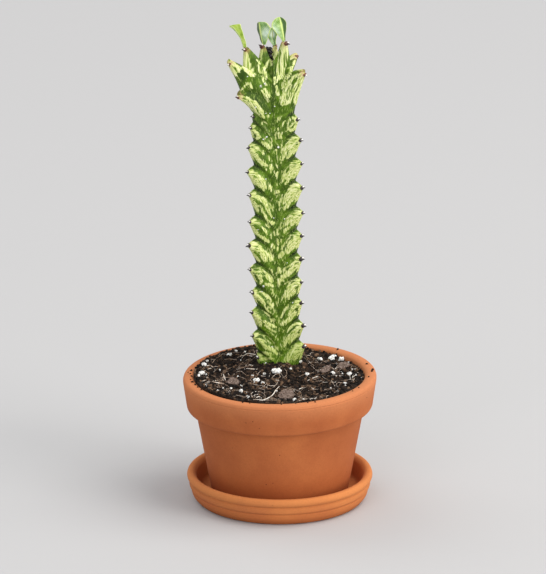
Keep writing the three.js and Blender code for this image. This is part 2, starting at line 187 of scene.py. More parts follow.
# places and sizes in metres
lights = {
    "keySoftbox": dict(place=(1.9, -0.2, 3), size=2.6, watts=80, colour="#fffcf8"),
    "sideSoftbox": dict(place=(2.8, -2, 1), size=1.8, watts=64, colour="#fffaf5"),
    "backSoftbox": dict(place=(-1.6, 1.4, 2.4), size=2, watts=20, colour="#ffffff"),
    "fillSoftbox": dict(place=(-1.2, -3, 2.2), size=2.4, watts=32, colour="#f8faff"),
}
studio = dict(world="#ffffff", worldStrength=0.6, floor="#bcbcbd", floorSize=12, aim=(0, 0, 0.1))


def makeStudio():
    for name, light in lights.items():
        data = bpy.data.lights.new(name, "AREA")
        data.shape = "SQUARE"
        data.size = light["size"]
        data.energy = light["watts"]
        data.color = linearColour(light["colour"])[:3]
        lamp = bpy.data.objects.new(name, data)
        bpy.context.collection.objects.link(lamp)
        lamp.location = light["place"]
        lamp.visible_camera = False
        toObject = Vector(studio["aim"]) - lamp.location
        lamp.rotation_euler = toObject.to_track_quat("-Z", "Y").to_euler()
    world = bpy.data.worlds.new("studioWorld")
    world.use_nodes = True
    background = world.node_tree.nodes["Background"]
    background.inputs["Color"].default_value = linearColour(studio["world"])
    background.inputs["Strength"].default_value = studio["worldStrength"]
    bpy.context.scene.world = world
    bpy.context.scene.view_settings.view_transform = "Standard"
    bpy.ops.mesh.primitive_plane_add(size=studio["floorSize"])
    floor = bpy.context.object
    floor.name = "studioFloor"
    # matt paper, which takes a soft shadow
    material, shader, _ = newMaterial("seamlessPaperFloor")
    shader.inputs["Base Color"].default_value = linearColour(studio["floor"])
    shader.inputs["Roughness"].default_value = 0.9
    shader.inputs["Specular IOR Level"].default_value = 0.1
    floor.data.materials.append(material)
    floor.select_set(False)


makeCamera()
makeStudio()
print("camera, floor and light made")


# Thrown clay

# sections as (radius, height), from the axis out and round to the inside
saucer = dict(
    sides=200,
    section=[
        (0, 0), (47, 0), (49.9, 3.6), (50.3, 6.2), (50, 6.8), (51.3, 7.8), (51.5, 10.2), (50.8, 11.6),
        (52.3, 12.2), (52.8, 13.8), (52, 16.2), (49.4, 16.4), (47.4, 14.4), (45.6, 5), (0, 5),
    ],
)
pot = dict(
    sides=200, foot=5.3, rimTop=74, rimRise=0.02,
    section=[
        (5, 5.3), (38.8, 5.3), (47.9, 54.4), (52.6, 55), (54.93, 70.8), (54.6, 71.2), (54.95, 71.6),
        (54.4, 73.4), (52.6, 74), (50.2, 74), (48.6, 73), (48.2, 71.4), (47.6, 62), (42.6, 52), (33.6, 12),
        (5, 12), (5, 5.3),
    ],
)
clay = dict(cornerShare=0.46, largestCorner=1.6, cornerSteps=5, longestStep=4, weld=1e-6, smoothAngle=50)


# The section with each corner rounded, and points a few mm apart on its long runs
def roundedSection(corners):
    corners = [Vector(corner) for corner in corners]
    points = [corners[0]]
    for before, here, after in zip(corners, corners[1:], corners[2:]):
        reach = min((before - here).length, (after - here).length) * clay["cornerShare"]
        reach = min(reach, clay["largestCorner"])
        start = here + (before - here).normalized() * reach
        end = here + (after - here).normalized() * reach
        for step in range(clay["cornerSteps"] + 1):
            share = step / clay["cornerSteps"]
            points.append(start.lerp(here, share).lerp(here.lerp(end, share), share))
    points.append(corners[-1])
    spaced = [points[0]]
    for point in points[1:]:
        steps = max(1, math.ceil((point - spaced[-1]).length / clay["longestStep"]))
        last = spaced[-1].copy()
        spaced += [last.lerp(point, (step + 1) / steps) for step in range(steps)]
    return spaced


# A vertex is drawn along the section, and the line is spun round the wheel's axis
def turnOnWheel(name, section, sides):
    bpy.ops.object.select_all(action="DESELECT")
    bpy.ops.mesh.primitive_plane_add(size=mm, location=(0, 0, 0))
    piece = bpy.context.object
    piece.name = piece.data.name = name
    bpy.ops.object.mode_set(mode="EDIT")
    bpy.ops.mesh.select_all(action="SELECT")
    bpy.ops.mesh.merge(type="CENTER")
    bpy.ops.transform.translate(value=(section[0].x * mm, 0, section[0].y * mm))
    for before, here in zip(section, section[1:]):
        step = ((here.x - before.x) * mm, 0, (here.y - before.y) * mm)
        bpy.ops.mesh.extrude_region_move(TRANSFORM_OT_translate={"value": step})
    bpy.ops.mesh.select_all(action="SELECT")
    bpy.ops.mesh.spin(steps=sides, angle=2 * math.pi, center=(0, 0, 0), axis=(0, 0, 1))
    bpy.ops.mesh.select_all(action="SELECT")
    bpy.ops.mesh.remove_doubles(threshold=clay["weld"])
    bpy.ops.mesh.normals_make_consistent(inside=False)
    bpy.ops.object.mode_set(mode="OBJECT")
    return piece


# The rim stands a little higher towards +X: the pot dried out of true
def rimLift(x, z):
    return pot["rimRise"] * x * (z - pot["foot"]) / (pot["rimTop"] - pot["foot"])


def makeClay(name, tones, shape):
    material, shader, add = newMaterial(name)
    place = add("TexCoord").outputs["Object"]
    # mottling in clouds of 30 mm
    cloud = add("TexNoise", sockets={"Scale": 1 / 0.03, "Detail": 3, "Roughness": 0.6},
                links={"Vector": place})
    # grit of 0.5 to 1 mm, as coarse as shows from a step away
    grit = add("TexNoise", sockets={"Scale": 1 / 0.0011, "Detail": 4, "Roughness": 0.7},
               links={"Vector": place})
    base = add("ValToRGB", links={"Fac": cloud.outputs["Fac"]},
               ramp=[(0.3, tones["dark"]), (0.5, tones["main"]), (0.72, tones["light"])])
    # the rim is paler: partly its own weathered colour, and partly a painted highlight where its top catches
    # the light
    height = add("SeparateXYZ", links={0: place})
    rise = add("MapRange", {"interpolation_type": "SMOOTHSTEP"},
               {1: shape["paleFrom"] * mm, 2: shape["paleTo"] * mm, 4: shape["pale"]},
               {0: height.outputs["Z"]})
    paler = add("Mix", {"data_type": "RGBA"}, {7: tones["pale"]},
                {0: rise.outputs[0], 6: base.outputs["Color"]})
    # the foot stays damp, and so deeper in colour
    damp = add("MapRange", {"interpolation_type": "SMOOTHSTEP"},
               {1: shape["dampTo"] * mm, 2: shape["dampFrom"] * mm, 4: shape["damp"]},
               {0: height.outputs["Z"]})
    deeper = add("Mix", {"data_type": "RGBA"}, {7: tones["damp"]},
                 {0: damp.outputs[0], 6: paler.outputs[2]})
    speckle = add("ValToRGB", links={"Fac": grit.outputs["Fac"]},
                  ramp=[(0.3, 0.78), (0.5, 1.0), (0.72, 1.12)])
    grained = add("Mix", {"data_type": "RGBA", "blend_type": "MULTIPLY"}, {0: shape["grain"]},
                  {6: deeper.outputs[2], 7: speckle.outputs["Color"]})
    # sparse pits about 4 mm apart, dark where grog has come away
    cells = add("TexVoronoi", sockets={"Scale": 1 / 0.0038, "Randomness": 1}, links={"Vector": place})
    pitRadius = add("SeparateColor", links={"Color": cells.outputs["Color"]})
    pitSize = add("MapRange", sockets={1: 0.8, 2: 1, 3: -0.02, 4: shape["pit"]},
                  links={0: pitRadius.outputs[0]})
    pit = add("Math", {"operation": "LESS_THAN"},
              links={0: cells.outputs["Distance"], 1: pitSize.outputs[0]})
    colour = add("Mix", {"data_type": "RGBA"}, {7: tones["pit"]},
                 {0: pit.outputs[0], 6: grained.outputs[2]})
    relief = add("Math", {"operation": "SUBTRACT"}, links={0: grit.outputs["Fac"], 1: pit.outputs[0]})
    return coatShader(material, shader, colour.outputs[2], (relief.outputs[0], 0.35, 0.00025),
                      {"Roughness": 0.88, "IOR": 1.5, "Specular IOR Level": 0.3})


# Unglazed earthenware, jiggered and fired: matt, softly mottled, with fine grit and a few pits
potClay = makeClay(
    "unglazedTerracottaJiggered",
    dict(dark="#a2572e", main="#ac6034", light="#b76a3a", pale="#d0885a", damp="#9c4c1c", pit="#5c3018"),
    dict(grain=0.4, pit=0.1, paleFrom=60, paleTo=76, pale=0.62, dampFrom=8, dampTo=36, damp=0.6))
# Unglazed earthenware, pressed: it fired a little lighter and yellower than the pot
saucerClay = makeClay(
    "unglazedTerracottaPressed",
    dict(dark="#b3663a", main="#bb6e3c", light="#c57842", pale="#cf854a", damp="#a85a28", pit="#7a4526"),
    dict(grain=0.35, pit=0.08, paleFrom=4, paleTo=17, pale=0.5, dampFrom=0, dampTo=9, damp=0.6))

saucerPiece = turnOnWheel("saucer_dish", roundedSection(saucer["section"]), saucer["sides"])
finishPiece(saucerPiece, "saucer_clay", saucerClay, "saucer", smoothAngle=clay["smoothAngle"])

potPiece = turnOnWheel("pot_body", roundedSection(pot["section"]), pot["sides"])
for vertex in potPiece.data.vertices:
    vertex.co.z += rimLift(vertex.co.x, vertex.co.z / mm)
finishPiece(potPiece, "pot_clay", potClay, "pot", smoothAngle=clay["smoothAngle"])
print("pot and saucer made:", len(potPiece.data.polygons), len(saucerPiece.data.polygons), "faces")


# Stem

# valley: (height, radius) of the skin between two ribs; valleySweep: how far its rows lag behind a rib's edge
# crownHollow: how deep the crown's middle is sunk; turns and angles are in degrees
stem = dict(
    foot=(-0.6, 19.5, 77), lean=-0.02, roundBelow=70, ribbedFrom=76.5, stubRadius=10.4, bottom=66, top=257.3,
    firstRadius=12.1, flankTurn=60, crestTurn=3, columnSpacing=1.15,
    crest=0.9, ribAngle=20, ribReach=9.7, ribSharpness=1.3, ribNarrowing=0.6, underTooth=1.45, overTooth=2.2,
    crease=1.1, creaseSpread=0.24, creaseStart=(2, 16), creaseFade=(34, 60), creaseLost=0.6,
    tipShare=0.74, bluntShare=0.08, notchAbove=3.7, notchRadius=13.1,
    leastReach=0.4, leastCrestRadius=5, fullCreaseRadius=8,
    valley=[(70, 9.6), (86, 8.4), (110, 7.8), (215, 8), (236, 9.6), (246, 8), (251, 5.4), (254, 3),
            (257, 1.6)],
    valleySweep=[(228, 13), (246, 7), (257.3, 1.5)], crownHollow=[(246, 0), (257.3, 5)],
    columnRow=0.6, crownRow=0.16, crownFrom=236, columnsPerSide=27,
)
# teeth: (height, reach) of each tip on the column
# horns: (tip, reach, lift, sway, blunt, width, top, notch) of each one in the crown
# hand: the side of the rib's front flank, 0 where it has none
# crownStart: the heights, as seen from the front, over which the crown's own paint sets in
ribs = [
    dict(bearing=210, hand=1, crownStart=(224, 229), teeth=[
        (79.5, 13.8), (93, 16.8), (107, 17), (119, 16.4), (133, 17.6), (147.5, 18.1), (161.5, 17),
        (177.5, 16.8), (191.5, 17.8), (206, 16.8), (217.5, 15)],
        horns=[
        (224, 13.4, 0, 0, 0, 0, 226.5, 12.8), (237.6, 23.2, 0.4, 0, 1.6, 0, 241.4, 21.2),
        (247.8, 29.4, 12.2, 0, 2, 1, 251, 18.8), (253, 18.6, 12.6, 0.4, 1.2, 2.2, 254.9, 9),
        (256.3, 7, 8.8, 0, 0.6, 1.4, 257.3, 2.6)]),
    dict(bearing=330, hand=-1, crownStart=(231, 236), teeth=[
        (86.5, 16.8), (99, 16.6), (112.5, 15.6), (125, 15.9), (139, 16.2), (153, 16.8), (167, 17.8),
        (182, 17.8), (196.5, 17.8), (210.5, 17.4), (222.5, 15.6)],
        horns=[(246, 20.8, 5.6, 0, 2.2, 0, 251, 12.2), (254.3, 9.2, 13.2, 0, 1.2, 2.6, 256, 3.6)]),
    dict(bearing=90, hand=0, crownStart=(231, 236), teeth=[
        (89, 16.4), (103, 17), (116, 16.6), (130, 17.2), (144, 17.6), (158.5, 17.4), (172.5, 17), (187, 17.6),
        (201.5, 17.2), (215, 16.4), (228.5, 17.6)],
        horns=[(242.6, 18, 10, -13, 1.8, 0, 246, 13), (255.2, 6.4, 6.8, -1.4, 0.6, 1.4, 256.6, 2.8)]),
]


# A rib's edge as a run of notches and tips from the soil up: (height, radius, lift, sway, order, 1 at a tip)
def ribKeys(rib):
    teeth = [(tip, reach, 0, 0, 0, 0, tip + stem["notchAbove"], stem["notchRadius"])
             for tip, reach in rib["teeth"]]
    keys = [(stem["roundBelow"], stem["firstRadius"], 0, 0, 0, 0)]
    for order, (tip, reach, lift, sway, blunt, width, top, notch) in enumerate(teeth + rib["horns"]):
        tipOrder = order + stem["tipShare"]
        keys.append((tip - blunt / 2, reach, lift, sway, tipOrder, 1))
        if blunt:
            keys.append((tip + blunt / 2, reach - width, lift, sway, tipOrder + stem["bluntShare"], 1))
        keys.append((top, notch, 0, 0, order + 1, 0))
    return np.array(keys, float)


for rib in ribs:
    rib["keys"] = ribKeys(rib)
    rib["tips"] = np.array([tooth[0] for tooth in rib["teeth"] + rib["horns"]], float)


# radius, lift, sway and order of a rib's edge at heights z
def ribEdge(rib, z):
    keys = rib["keys"]
    above = np.minimum(np.searchsorted(keys[:, 0], z), len(keys) - 1)
    below = np.maximum(above - 1, 0)
    gap = np.maximum(keys[above, 0] - keys[below, 0], 1e-9)
    share = np.clip((z - keys[below, 0]) / gap, 0, 1)
    outward = np.where(keys[above, 5] > 0, share ** stem["underTooth"], share ** stem["overTooth"])
    blend = [between(keys[below, i], keys[above, i], outward) for i in (1, 2, 3)]
    return (*blend, between(keys[below, 4], keys[above, 4], share))


def axisAt(z):
    return stem["foot"][0] + stem["lean"] * (z - stem["foot"][2]), stem["foot"][1]


# Points of the skin in direction rib bearing + aside (degrees), grown from heights z
def skinPoints(rib, aside, z):
    turn = abs(aside)
    valley = alongLine(stem["valley"], z)
    radius, lift, sway, order = ribEdge(rib, z + alongLine(stem["valleySweep"], z) * turn / stem["flankTurn"])
    reach = np.maximum(radius - valley, stem["leastReach"])
    halfAngle = stem["ribAngle"] * (stem["ribReach"] / reach) ** stem["ribNarrowing"]
    crestAngle = np.degrees(stem["crest"] / np.maximum(radius, stem["leastCrestRadius"]))
    share = np.exp(-(np.maximum(turn - crestAngle, 0) / halfAngle) ** stem["ribSharpness"])
    away = np.abs(order - np.round(order)) / stem["creaseSpread"]
    crease = stem["crease"] * np.maximum(1 - away ** 2, 0) * smoothStep(turn, *stem["creaseStart"])
    crease = crease * (1 - stem["creaseLost"] * smoothStep(turn, *stem["creaseFade"]))
    skin = valley + reach * share - crease * np.minimum(valley / stem["fullCreaseRadius"], 1)
    radius = between(stem["stubRadius"], skin, smoothStep(z, stem["roundBelow"], stem["ribbedFrom"]))
    angle = math.radians(rib["bearing"] + aside)
    swayAngle = math.radians(rib["bearing"] + 90)
    axisX, axisY = axisAt(z)
    return np.stack([
        axisX + radius * math.cos(angle) + sway * share * math.cos(swayAngle),
        axisY + radius * math.sin(angle) + sway * share * math.sin(swayAngle),
        z + lift * share - alongLine(stem["crownHollow"], z) * (1 - share)], axis=-1)


def crestPoint(rib, z):
    row = np.array([float(z)])
    points = [skinPoints(rib, aside, row)[0] for aside in (-stem["crestTurn"], stem["crestTurn"])]
    return Vector((points[0] + points[1]) / 2)


# The variegation, painted: one list for each tooth of a flank, from the soil up. A stroke is a run of
# (degrees from the rib's edge, mm over the tooth's tip, half width in mm), green where the width is negative.
leftFlank = [
    [[(1, 0.6, 1), (10, 2.5, 1), (22, 3.2, 0.6), (35, 2.5, 0.5)],
     [(3, -1.3, 0.7), (16, -0.2, 0.7), (28, 0.2, 0.6), (41, -0.2, 0.5)]],
    [[(6, 3.6, 0.4), (16, 2.8, 0.4), (26, 1.3, 0.4), (37, -1.7, 0.4)],
     [(8, 0.6, 0.35), (20, -0.2, 0.4), (32, -2, 0.4), (45, -4.3, 0.4)],
     [(27, 4, 0.3), (38, 1.7, 0.4), (47, 0.2, 0.4), (55, -1.3, 0.4)],
     [(13, -1.7, 0.3), (26, -3.5, 0.35), (37, -4.7, 0.3)],
     [(10, -1.3, 0.6), (17, -4.3, 0.9), (22, -6.5, 1.2), (35, -7.7, 0.8), (45, -8.8, 0.6), (53, -10.7, 0.6)],
     [(6, 1.7, -0.25), (17, -1.3, -0.3), (27, -4.3, -0.35), (33, -5.8, -0.3)],
     [(48, -6.5, 0.4), (56, -8, 0.4)]],
    [[(5, 2.3, 0.25), (15, 0.8, 0.4), (22, -0.7, 0.5), (30, -2.2, 0.3)],
     [(3, -0.3, 0.8), (10, -2.9, 1.2), (13, -5.5, 1.1), (11, -7.4, 0.8)],
     [(3, 1.2, -0.3), (13, -1, -0.35), (22, -3.7, -0.4), (30, -5.2, -0.5)],
     [(21, -5.2, 0.6), (26, -6.3, 0.4), (32, -7, 0.5), (42, -8.2, 0.5), (52, -8.9, 0.4)],
     [(35, -4.8, 0.7), (45, -4.4, 0.7)],
     [(22, -7.4, 0.5), (32, -9.7, 0.5), (41, -10.8, 0.4), (50, -11.5, 0.4)],
     [(48, 0.1, 0.4), (53, 1.2, 0.3)]],
    [[(10, 0.5, 0.3), (18, -1, 0.5), (28, -2.9, 0.8), (37, -5.2, 0.5)],
     [(5, 0.1, 0.7), (10, -2.5, 1.2), (17, -5.2, 1), (21, -6.7, 0.6)],
     [(8, 0.1, -0.3), (17, -2.2, -0.35), (25, -4.4, -0.35), (27, -6.7, -0.25)],
     [(25, -3.7, 0.3), (31, -5.9, 0.5), (33, -7.4, 0.4)], [(8, -8.2, 0.5), (15, -9.7, 0.6)],
     [(20, -8.2, 0.4), (27, -10.8, 0.7), (37, -12.3, 0.6), (46, -13.4, 0.4)],
     [(31, -8.5, 0.5), (36, -9.7, 0.4)], [(41, -6.7, 0.4), (46, -7.8, 0.4)],
     [(45, -1.8, 0.3), (53, -3.3, 0.4)]],
    [[(5, 1.7, 0.25), (13, 0, 0.3), (22, -1.9, 0.4), (32, -3.8, 0.6), (41, -6, 0.5)],
     [(3, 0.7, 0.5), (10, -1.5, 0.8), (15, -4.2, 1.2), (16, -6.8, 1), (13, -8.3, 0.6)],
     [(3, 1.5, -0.3), (13, -1.2, -0.35), (21, -3.4, -0.4), (26, -6.4, -0.3)],
     [(8, 0, -0.2), (13, -2.7, -0.25)], [(26, -3.8, 0.7), (35, -5.7, 0.9), (40, -7.2, 0.6)],
     [(25, -8.7, 0.6), (35, -9.4, 0.7), (43, -10.2, 0.4)], [(38, -12, 0.5), (39, -12.2, 0.5)],
     [(36, 0.3, 0.4), (41, -1.2, 0.5), (45, -3.4, 0.6)]],
    [[(3, 1, 0.8), (12, -1.7, 1.3), (20, -4.7, 1.3), (22, -7.3, 1.2), (26, -9.2, 0.8)],
     [(0, -3.9, 1.6), (2, -6.9, 1.6), (10, -9.2, 1)],
     [(10, -0.2, -0.3), (15, -3.9, -0.3), (13, -6.2, -0.25)],
     [(43, 0.6, 0.5), (43, -2.8, 0.5), (40, -3.9, 0.6)], [(27, -2, 0.3), (28, -3.2, 0.3)],
     [(35, -5.4, 0.8), (40, -8.4, 0.7)]],
    [[(5, 0.8, 0.3), (15, -1.4, 0.4), (23, -4, 0.6), (28, -6.3, 0.6), (31, -7.4, 0.4)],
     [(1, -2.5, 1.5), (6, -5.5, 1.6), (10, -7, 0.9)], [(7, -0.7, -0.3), (15, -3.3, -0.4), (21, -6.7, -0.4)],
     [(15, -8.9, 0.7), (22, -9.7, 0.7), (30, -11.5, 0.5)], [(16, -11.9, 0.5), (26, -13.4, 0.5)],
     [(23, -1.4, 0.4), (30, -2.5, 0.7), (35, -3.3, 0.4)],
     [(41, 0.1, 0.6), (47, -1.1, 0.8), (55, -0.7, 0.5)], [(38, -7.8, 0.4), (40, -7.8, 0.4)]],
    [[(6, 0.2, 0.5), (17, -1.7, 0.9), (26, -3.9, 1.1), (31, -6.9, 0.9), (38, -10.7, 0.6), (45, -12.9, 0.3)],
     [(1, -3.2, 1.6), (6, -6.2, 1.8), (10, -8.8, 1)],
     [(8, -0.2, -0.3), (13, -3.9, -0.35), (17, -5.4, -0.4), (26, -9.9, -0.3)],
     [(17, -6.2, 0.6), (21, -9.2, 0.7), (28, -12.9, 0.8), (31, -15.2, 0.7), (32, -17.1, 0.5)],
     [(43, -3.6, 0.4), (49, -2.1, 0.3)], [(38, -5.4, 0.4), (45, -7.3, 0.4), (51, -9.6, 0.3)]],
    [[(5, -0.1, 0.8), (16, -3.3, 1), (25, -6.1, 1), (26, -8.9, 0.9)],
     [(3, -1.8, 1.6), (10, -5.6, 1.8), (20, -8.2, 1.2), (25, -10.4, 0.4)], [(0, -2.9, 1.6), (0, -7.4, 1.2)],
     [(8, -0.7, -0.25), (14, -2.9, -0.35), (18, -4.8, -0.3), (18, -6.7, -0.15)],
     [(40, -8.6, 0.5), (42, -10.1, 0.7), (47, -11, 0.5)]],
    [[(3, 1.8, 0.4), (12, 0, 0.4), (21, -2.3, 0.5), (25, -4.2, 0.4)],
     [(3, -0.4, 0.8), (10, -3, 1.3), (13, -5.7, 1.3), (21, -9.1, 0.9), (31, -10.2, 0.5)],
     [(5, 1.1, -0.25), (12, -1.5, -0.3), (17, -3.8, -0.3)], [(41, -2.3, 0.5), (47, -1.9, 0.3)],
     [(47, -10.7, 0.6), (48, -12.6, 0.5)], [(45, -14.4, 0.25), (46, -14.5, 0.25)]],
    [[(6, -0.3, 0.5), (13, -2.9, 1), (18, -4.8, 1), (10, -5.9, 0.7)],
     [(23, -8.2, 0.6), (31, -9.3, 1.1), (40, -10.8, 1), (43, -11.5, 0.6)],
     [(40, -2.5, 0.3), (45, -3.7, 0.35)], [(41, -5.5, 0.25), (46, -5.7, 0.25)],
     [(21, 3.1, 0.25), (32, 0.5, 0.3), (38, -2.2, 0.25)], [(22, 4.2, 0.4), (30, 3.8, 0.6), (37, 3.1, 0.4)]],
]
rightFlank = [
    [[(5, 1.5, 0.6), (13, -1.2, 1.3), (20, -3.4, 1.5), (28, -5.7, 1.4), (34, -7.5, 1), (38, -8.3, 0.4)],
     [(8, -1.9, 1.2), (13, -5.7, 1.2), (18, -7.2, 0.8)], [(5, 2.6, 0.3), (13, 1.5, 0.2), (19, -0.4, 0.15)],
     [(37, -1.7, 0.4), (36, -2.1, 0.4)], [(50, -4.9, 0.3), (49, -4.9, 0.3)],
     [(13, 3, 0.25), (21, 1.8, 0.3), (29, 0, 0.25)]],
    [[(5, 1.7, 0.4), (15, -0.2, 0.4), (23, -2, 0.4), (29, -3.9, 0.3)],
     [(8, 0.6, -0.2), (19, -2, -0.25), (28, -4.3, -0.25)],
     [(5, 0.2, 0.5), (11, -2, 0.9), (18, -3.9, 0.9), (25, -6.2, 1), (31, -8.4, 0.9),
      (39, -11, 0.8), (41, -12.2, 0.4)],
     [(11, -5.4, 1.1), (19, -7.7, 1), (25, -9.9, 0.8)], [(36, -6.5, 0.3), (40, -7.7, 0.3)],
     [(43, -9.3, 0.4), (42, -9.7, 0.4)], [(51, -11, 0.4), (48, -13.7, 0.4)]],
    [[(21, -0.9, 0.3), (28, -2.4, 0.6), (34, -4.3, 0.6), (40, -6.5, 0.6), (46, -8, 0.5), (50, -8.8, 0.3)],
     [(13, -0.2, -0.25), (21, -2.8, -0.35), (30, -5.4, -0.4), (38, -8, -0.4)],
     [(6, 1.3, 0.5), (13, -1.3, 1), (19, -3.9, 1.2), (25, -6.5, 0.9)],
     [(13, -5.8, 1.2), (21, -8.8, 0.9), (31, -10.7, 0.6), (38, -11, 0.4)],
     [(46, -12.5, 0.6), (41, -12.2, 0.5)], [(39, -16.3, 0.5), (41, -17, 0.4)],
     [(56, -16.7, 0.3), (56, -16.8, 0.3)], [(35, -12.9, 0.3), (34, -12.5, 0.3)]],
    [[(5, 2, 0.5), (15, 1.2, 0.5), (25, 0.1, 0.6), (34, -1, 0.5), (38, -1.4, 0.3)],
     [(6, 0.5, 0.7), (14, -1.4, 1.2), (21, -3.7, 1.3), (29, -5.9, 1.1), (35, -7.8, 0.8), (39, -8.9, 0.3)],
     [(13, -5.2, 1.2), (19, -7, 0.8), (26, -8.2, 0.5)], [(29, -10, 0.25), (21, -9.7, 0.25)],
     [(14, -0.1, -0.25), (23, -1.8, -0.3), (31, -4.4, -0.35)]],
    [[(5, 0.3, 0.4), (13, -1.9, 0.5), (21, -4.2, 0.7), (31, -6, 0.7), (40, -7.5, 0.5), (46, -8.3, 0.3)],
     [(9, -1.5, -0.2), (16, -3.4, -0.25), (28, -5.7, -0.35), (38, -7.5, -0.35), (45, -9, -0.3)],
     [(8, -3.4, 1.2), (16, -6, 1.6), (23, -7.9, 1.3), (30, -9.4, 1), (40, -10.9, 0.7), (45, -12.4, 0.7)],
     [(54, -5.7, 0.9), (56, -7.5, 0.7)], [(53, -12.8, 0.8), (55, -14.3, 0.6)]],
    [[(13, 0.7, 0.3), (21, -1.9, 0.5), (30, -4.9, 0.5), (38, -6.8, 0.5), (43, -8.3, 0.3)],
     [(10, 0.3, -0.25), (20, -2.7, -0.3), (29, -6, -0.4), (31, -7.5, -0.3)],
     [(5, 0.7, 0.6), (13, -2.3, 1.2), (20, -5.3, 1.2), (25, -7.2, 1), (29, -9.4, 0.7)],
     [(9, -4.9, 1.3), (18, -7.5, 1), (25, -9.4, 0.8)], [(3, -2.7, 1.4), (5, -6.4, 0.9)],
     [(39, -10.5, 0.9), (45, -12, 0.7)], [(56, -2.7, 0.8), (55, -4.5, 0.6)],
     [(40, -2.3, 0.5), (45, -3.4, 0.4)], [(58, -7.5, 0.6), (58, -8.7, 0.5)]],
    [[(5, 0.9, 0.6), (13, -1.7, 1.1), (20, -4.3, 1.2), (26, -6.6, 0.8), (30, -7.7, 0.3)],
     [(10, -3.9, 1.6), (15, -6.6, 0.9)], [(3, -3.2, 1.3), (4, -6.2, 0.7)],
     [(19, -8.4, 0.5), (26, -9.5, 0.9), (33, -11.4, 0.6)],
     [(10, -10.3, 0.5), (18, -11.8, 0.6), (25, -12.9, 0.5)],
     [(34, -8, 0.2), (41, -9.2, 0.4), (49, -10.1, 0.3)], [(36, -6, 0.3), (37, -6.6, 0.3)],
     [(56, -12.5, 0.6), (53, -12.7, 0.4)]],
    [[(5, 1.3, 0.7), (14, -1.3, 1.1), (21, -4.3, 1.3), (28, -6.9, 1.2), (31, -8.8, 0.6)],
     [(13, -4.7, 1.8), (19, -8.4, 1), (25, -11.1, 0.9), (30, -12.2, 0.4)], [(4, -3.2, 1.5), (5, -7.3, 1)],
     [(18, -6.2, -0.2), (17, -8.4, -0.2)], [(18, -11.8, 0.3), (10, -12.6, 0.3)],
     [(58, -2.6, 0.8), (48, -2.4, 0.7)], [(51, -4.9, 0.6), (50, -5.4, 0.5)],
     [(45, -8.8, 0.5), (46, -10.7, 0.4)], [(39, -7.3, 0.5), (40, -8.1, 0.4)],
     [(51, -8.1, 0.4), (53, -8.6, 0.4)], [(40, -11.8, 0.3), (46, -13.3, 0.3)]],
    [[(8, 0.7, 0.5), (18, -2.3, 0.6), (28, -5.3, 0.5), (31, -6.4, 0.3)],
     [(9, -0.4, -0.3), (18, -2.7, -0.35), (25, -4.9, -0.3)],
     [(5, -0.8, 0.9), (13, -3.4, 1), (21, -5.7, 1.2), (29, -7.6, 1.4), (31, -9.1, 0.7)],
     [(13, -6.4, 1.5), (20, -8.3, 1.2)], [(4, -4.2, 1.6), (5, -7.6, 1.1)],
     [(19, -10.2, 0.5), (26, -11.7, 0.6)], [(33, -10.2, 0.4), (38, -11.7, 0.3)],
     [(41, -11.3, 0.3), (44, -12.4, 0.3)], [(50, -5.5, 0.6), (53, -7.2, 0.7)]],
    [[(5, 1.5, 0.6), (13, -1.2, 1), (20, -3.4, 1.2), (26, -6, 1.2), (29, -8.7, 0.9), (33, -11.7, 0.4)],
     [(11, -3.4, 1.4), (15, -7.2, 1.3), (18, -10.2, 0.9)], [(4, -4.2, 1.4), (5, -7.2, 1)],
     [(53, -5.7, 0.5), (50, -6.4, 0.4)], [(50, -15.2, 0.5), (50, -15.9, 0.5)]],
    [[(5, 1.5, 0.25), (13, 0, 0.3), (18, -2.3, 0.35), (20, -4.5, 0.3)],
     [(6, -0.4, 0.4), (11, -2.3, 0.5), (15, -4.2, 0.5), (23, -6.4, 0.5)],
     [(3, -3.8, 1), (5, -6, 0.6), (14, -5.8, 0.5)],
     [(21, -0.4, 0.4), (28, -2.3, 0.5), (35, -4.9, 0.5), (39, -6, 0.3)],
     [(8, -8.3, 0.25), (16, -9.8, 0.3), (21, -11.3, 0.3)], [(41, -8.3, 0.7), (38, -10.2, 0.6)],
     [(44, -5.5, 0.4), (43, -5.8, 0.4)], [(51, -10.9, 0.5), (48, -11.1, 0.3)],
     [(44, 1.5, 0.5), (39, 0.3, 0.5)]],
]
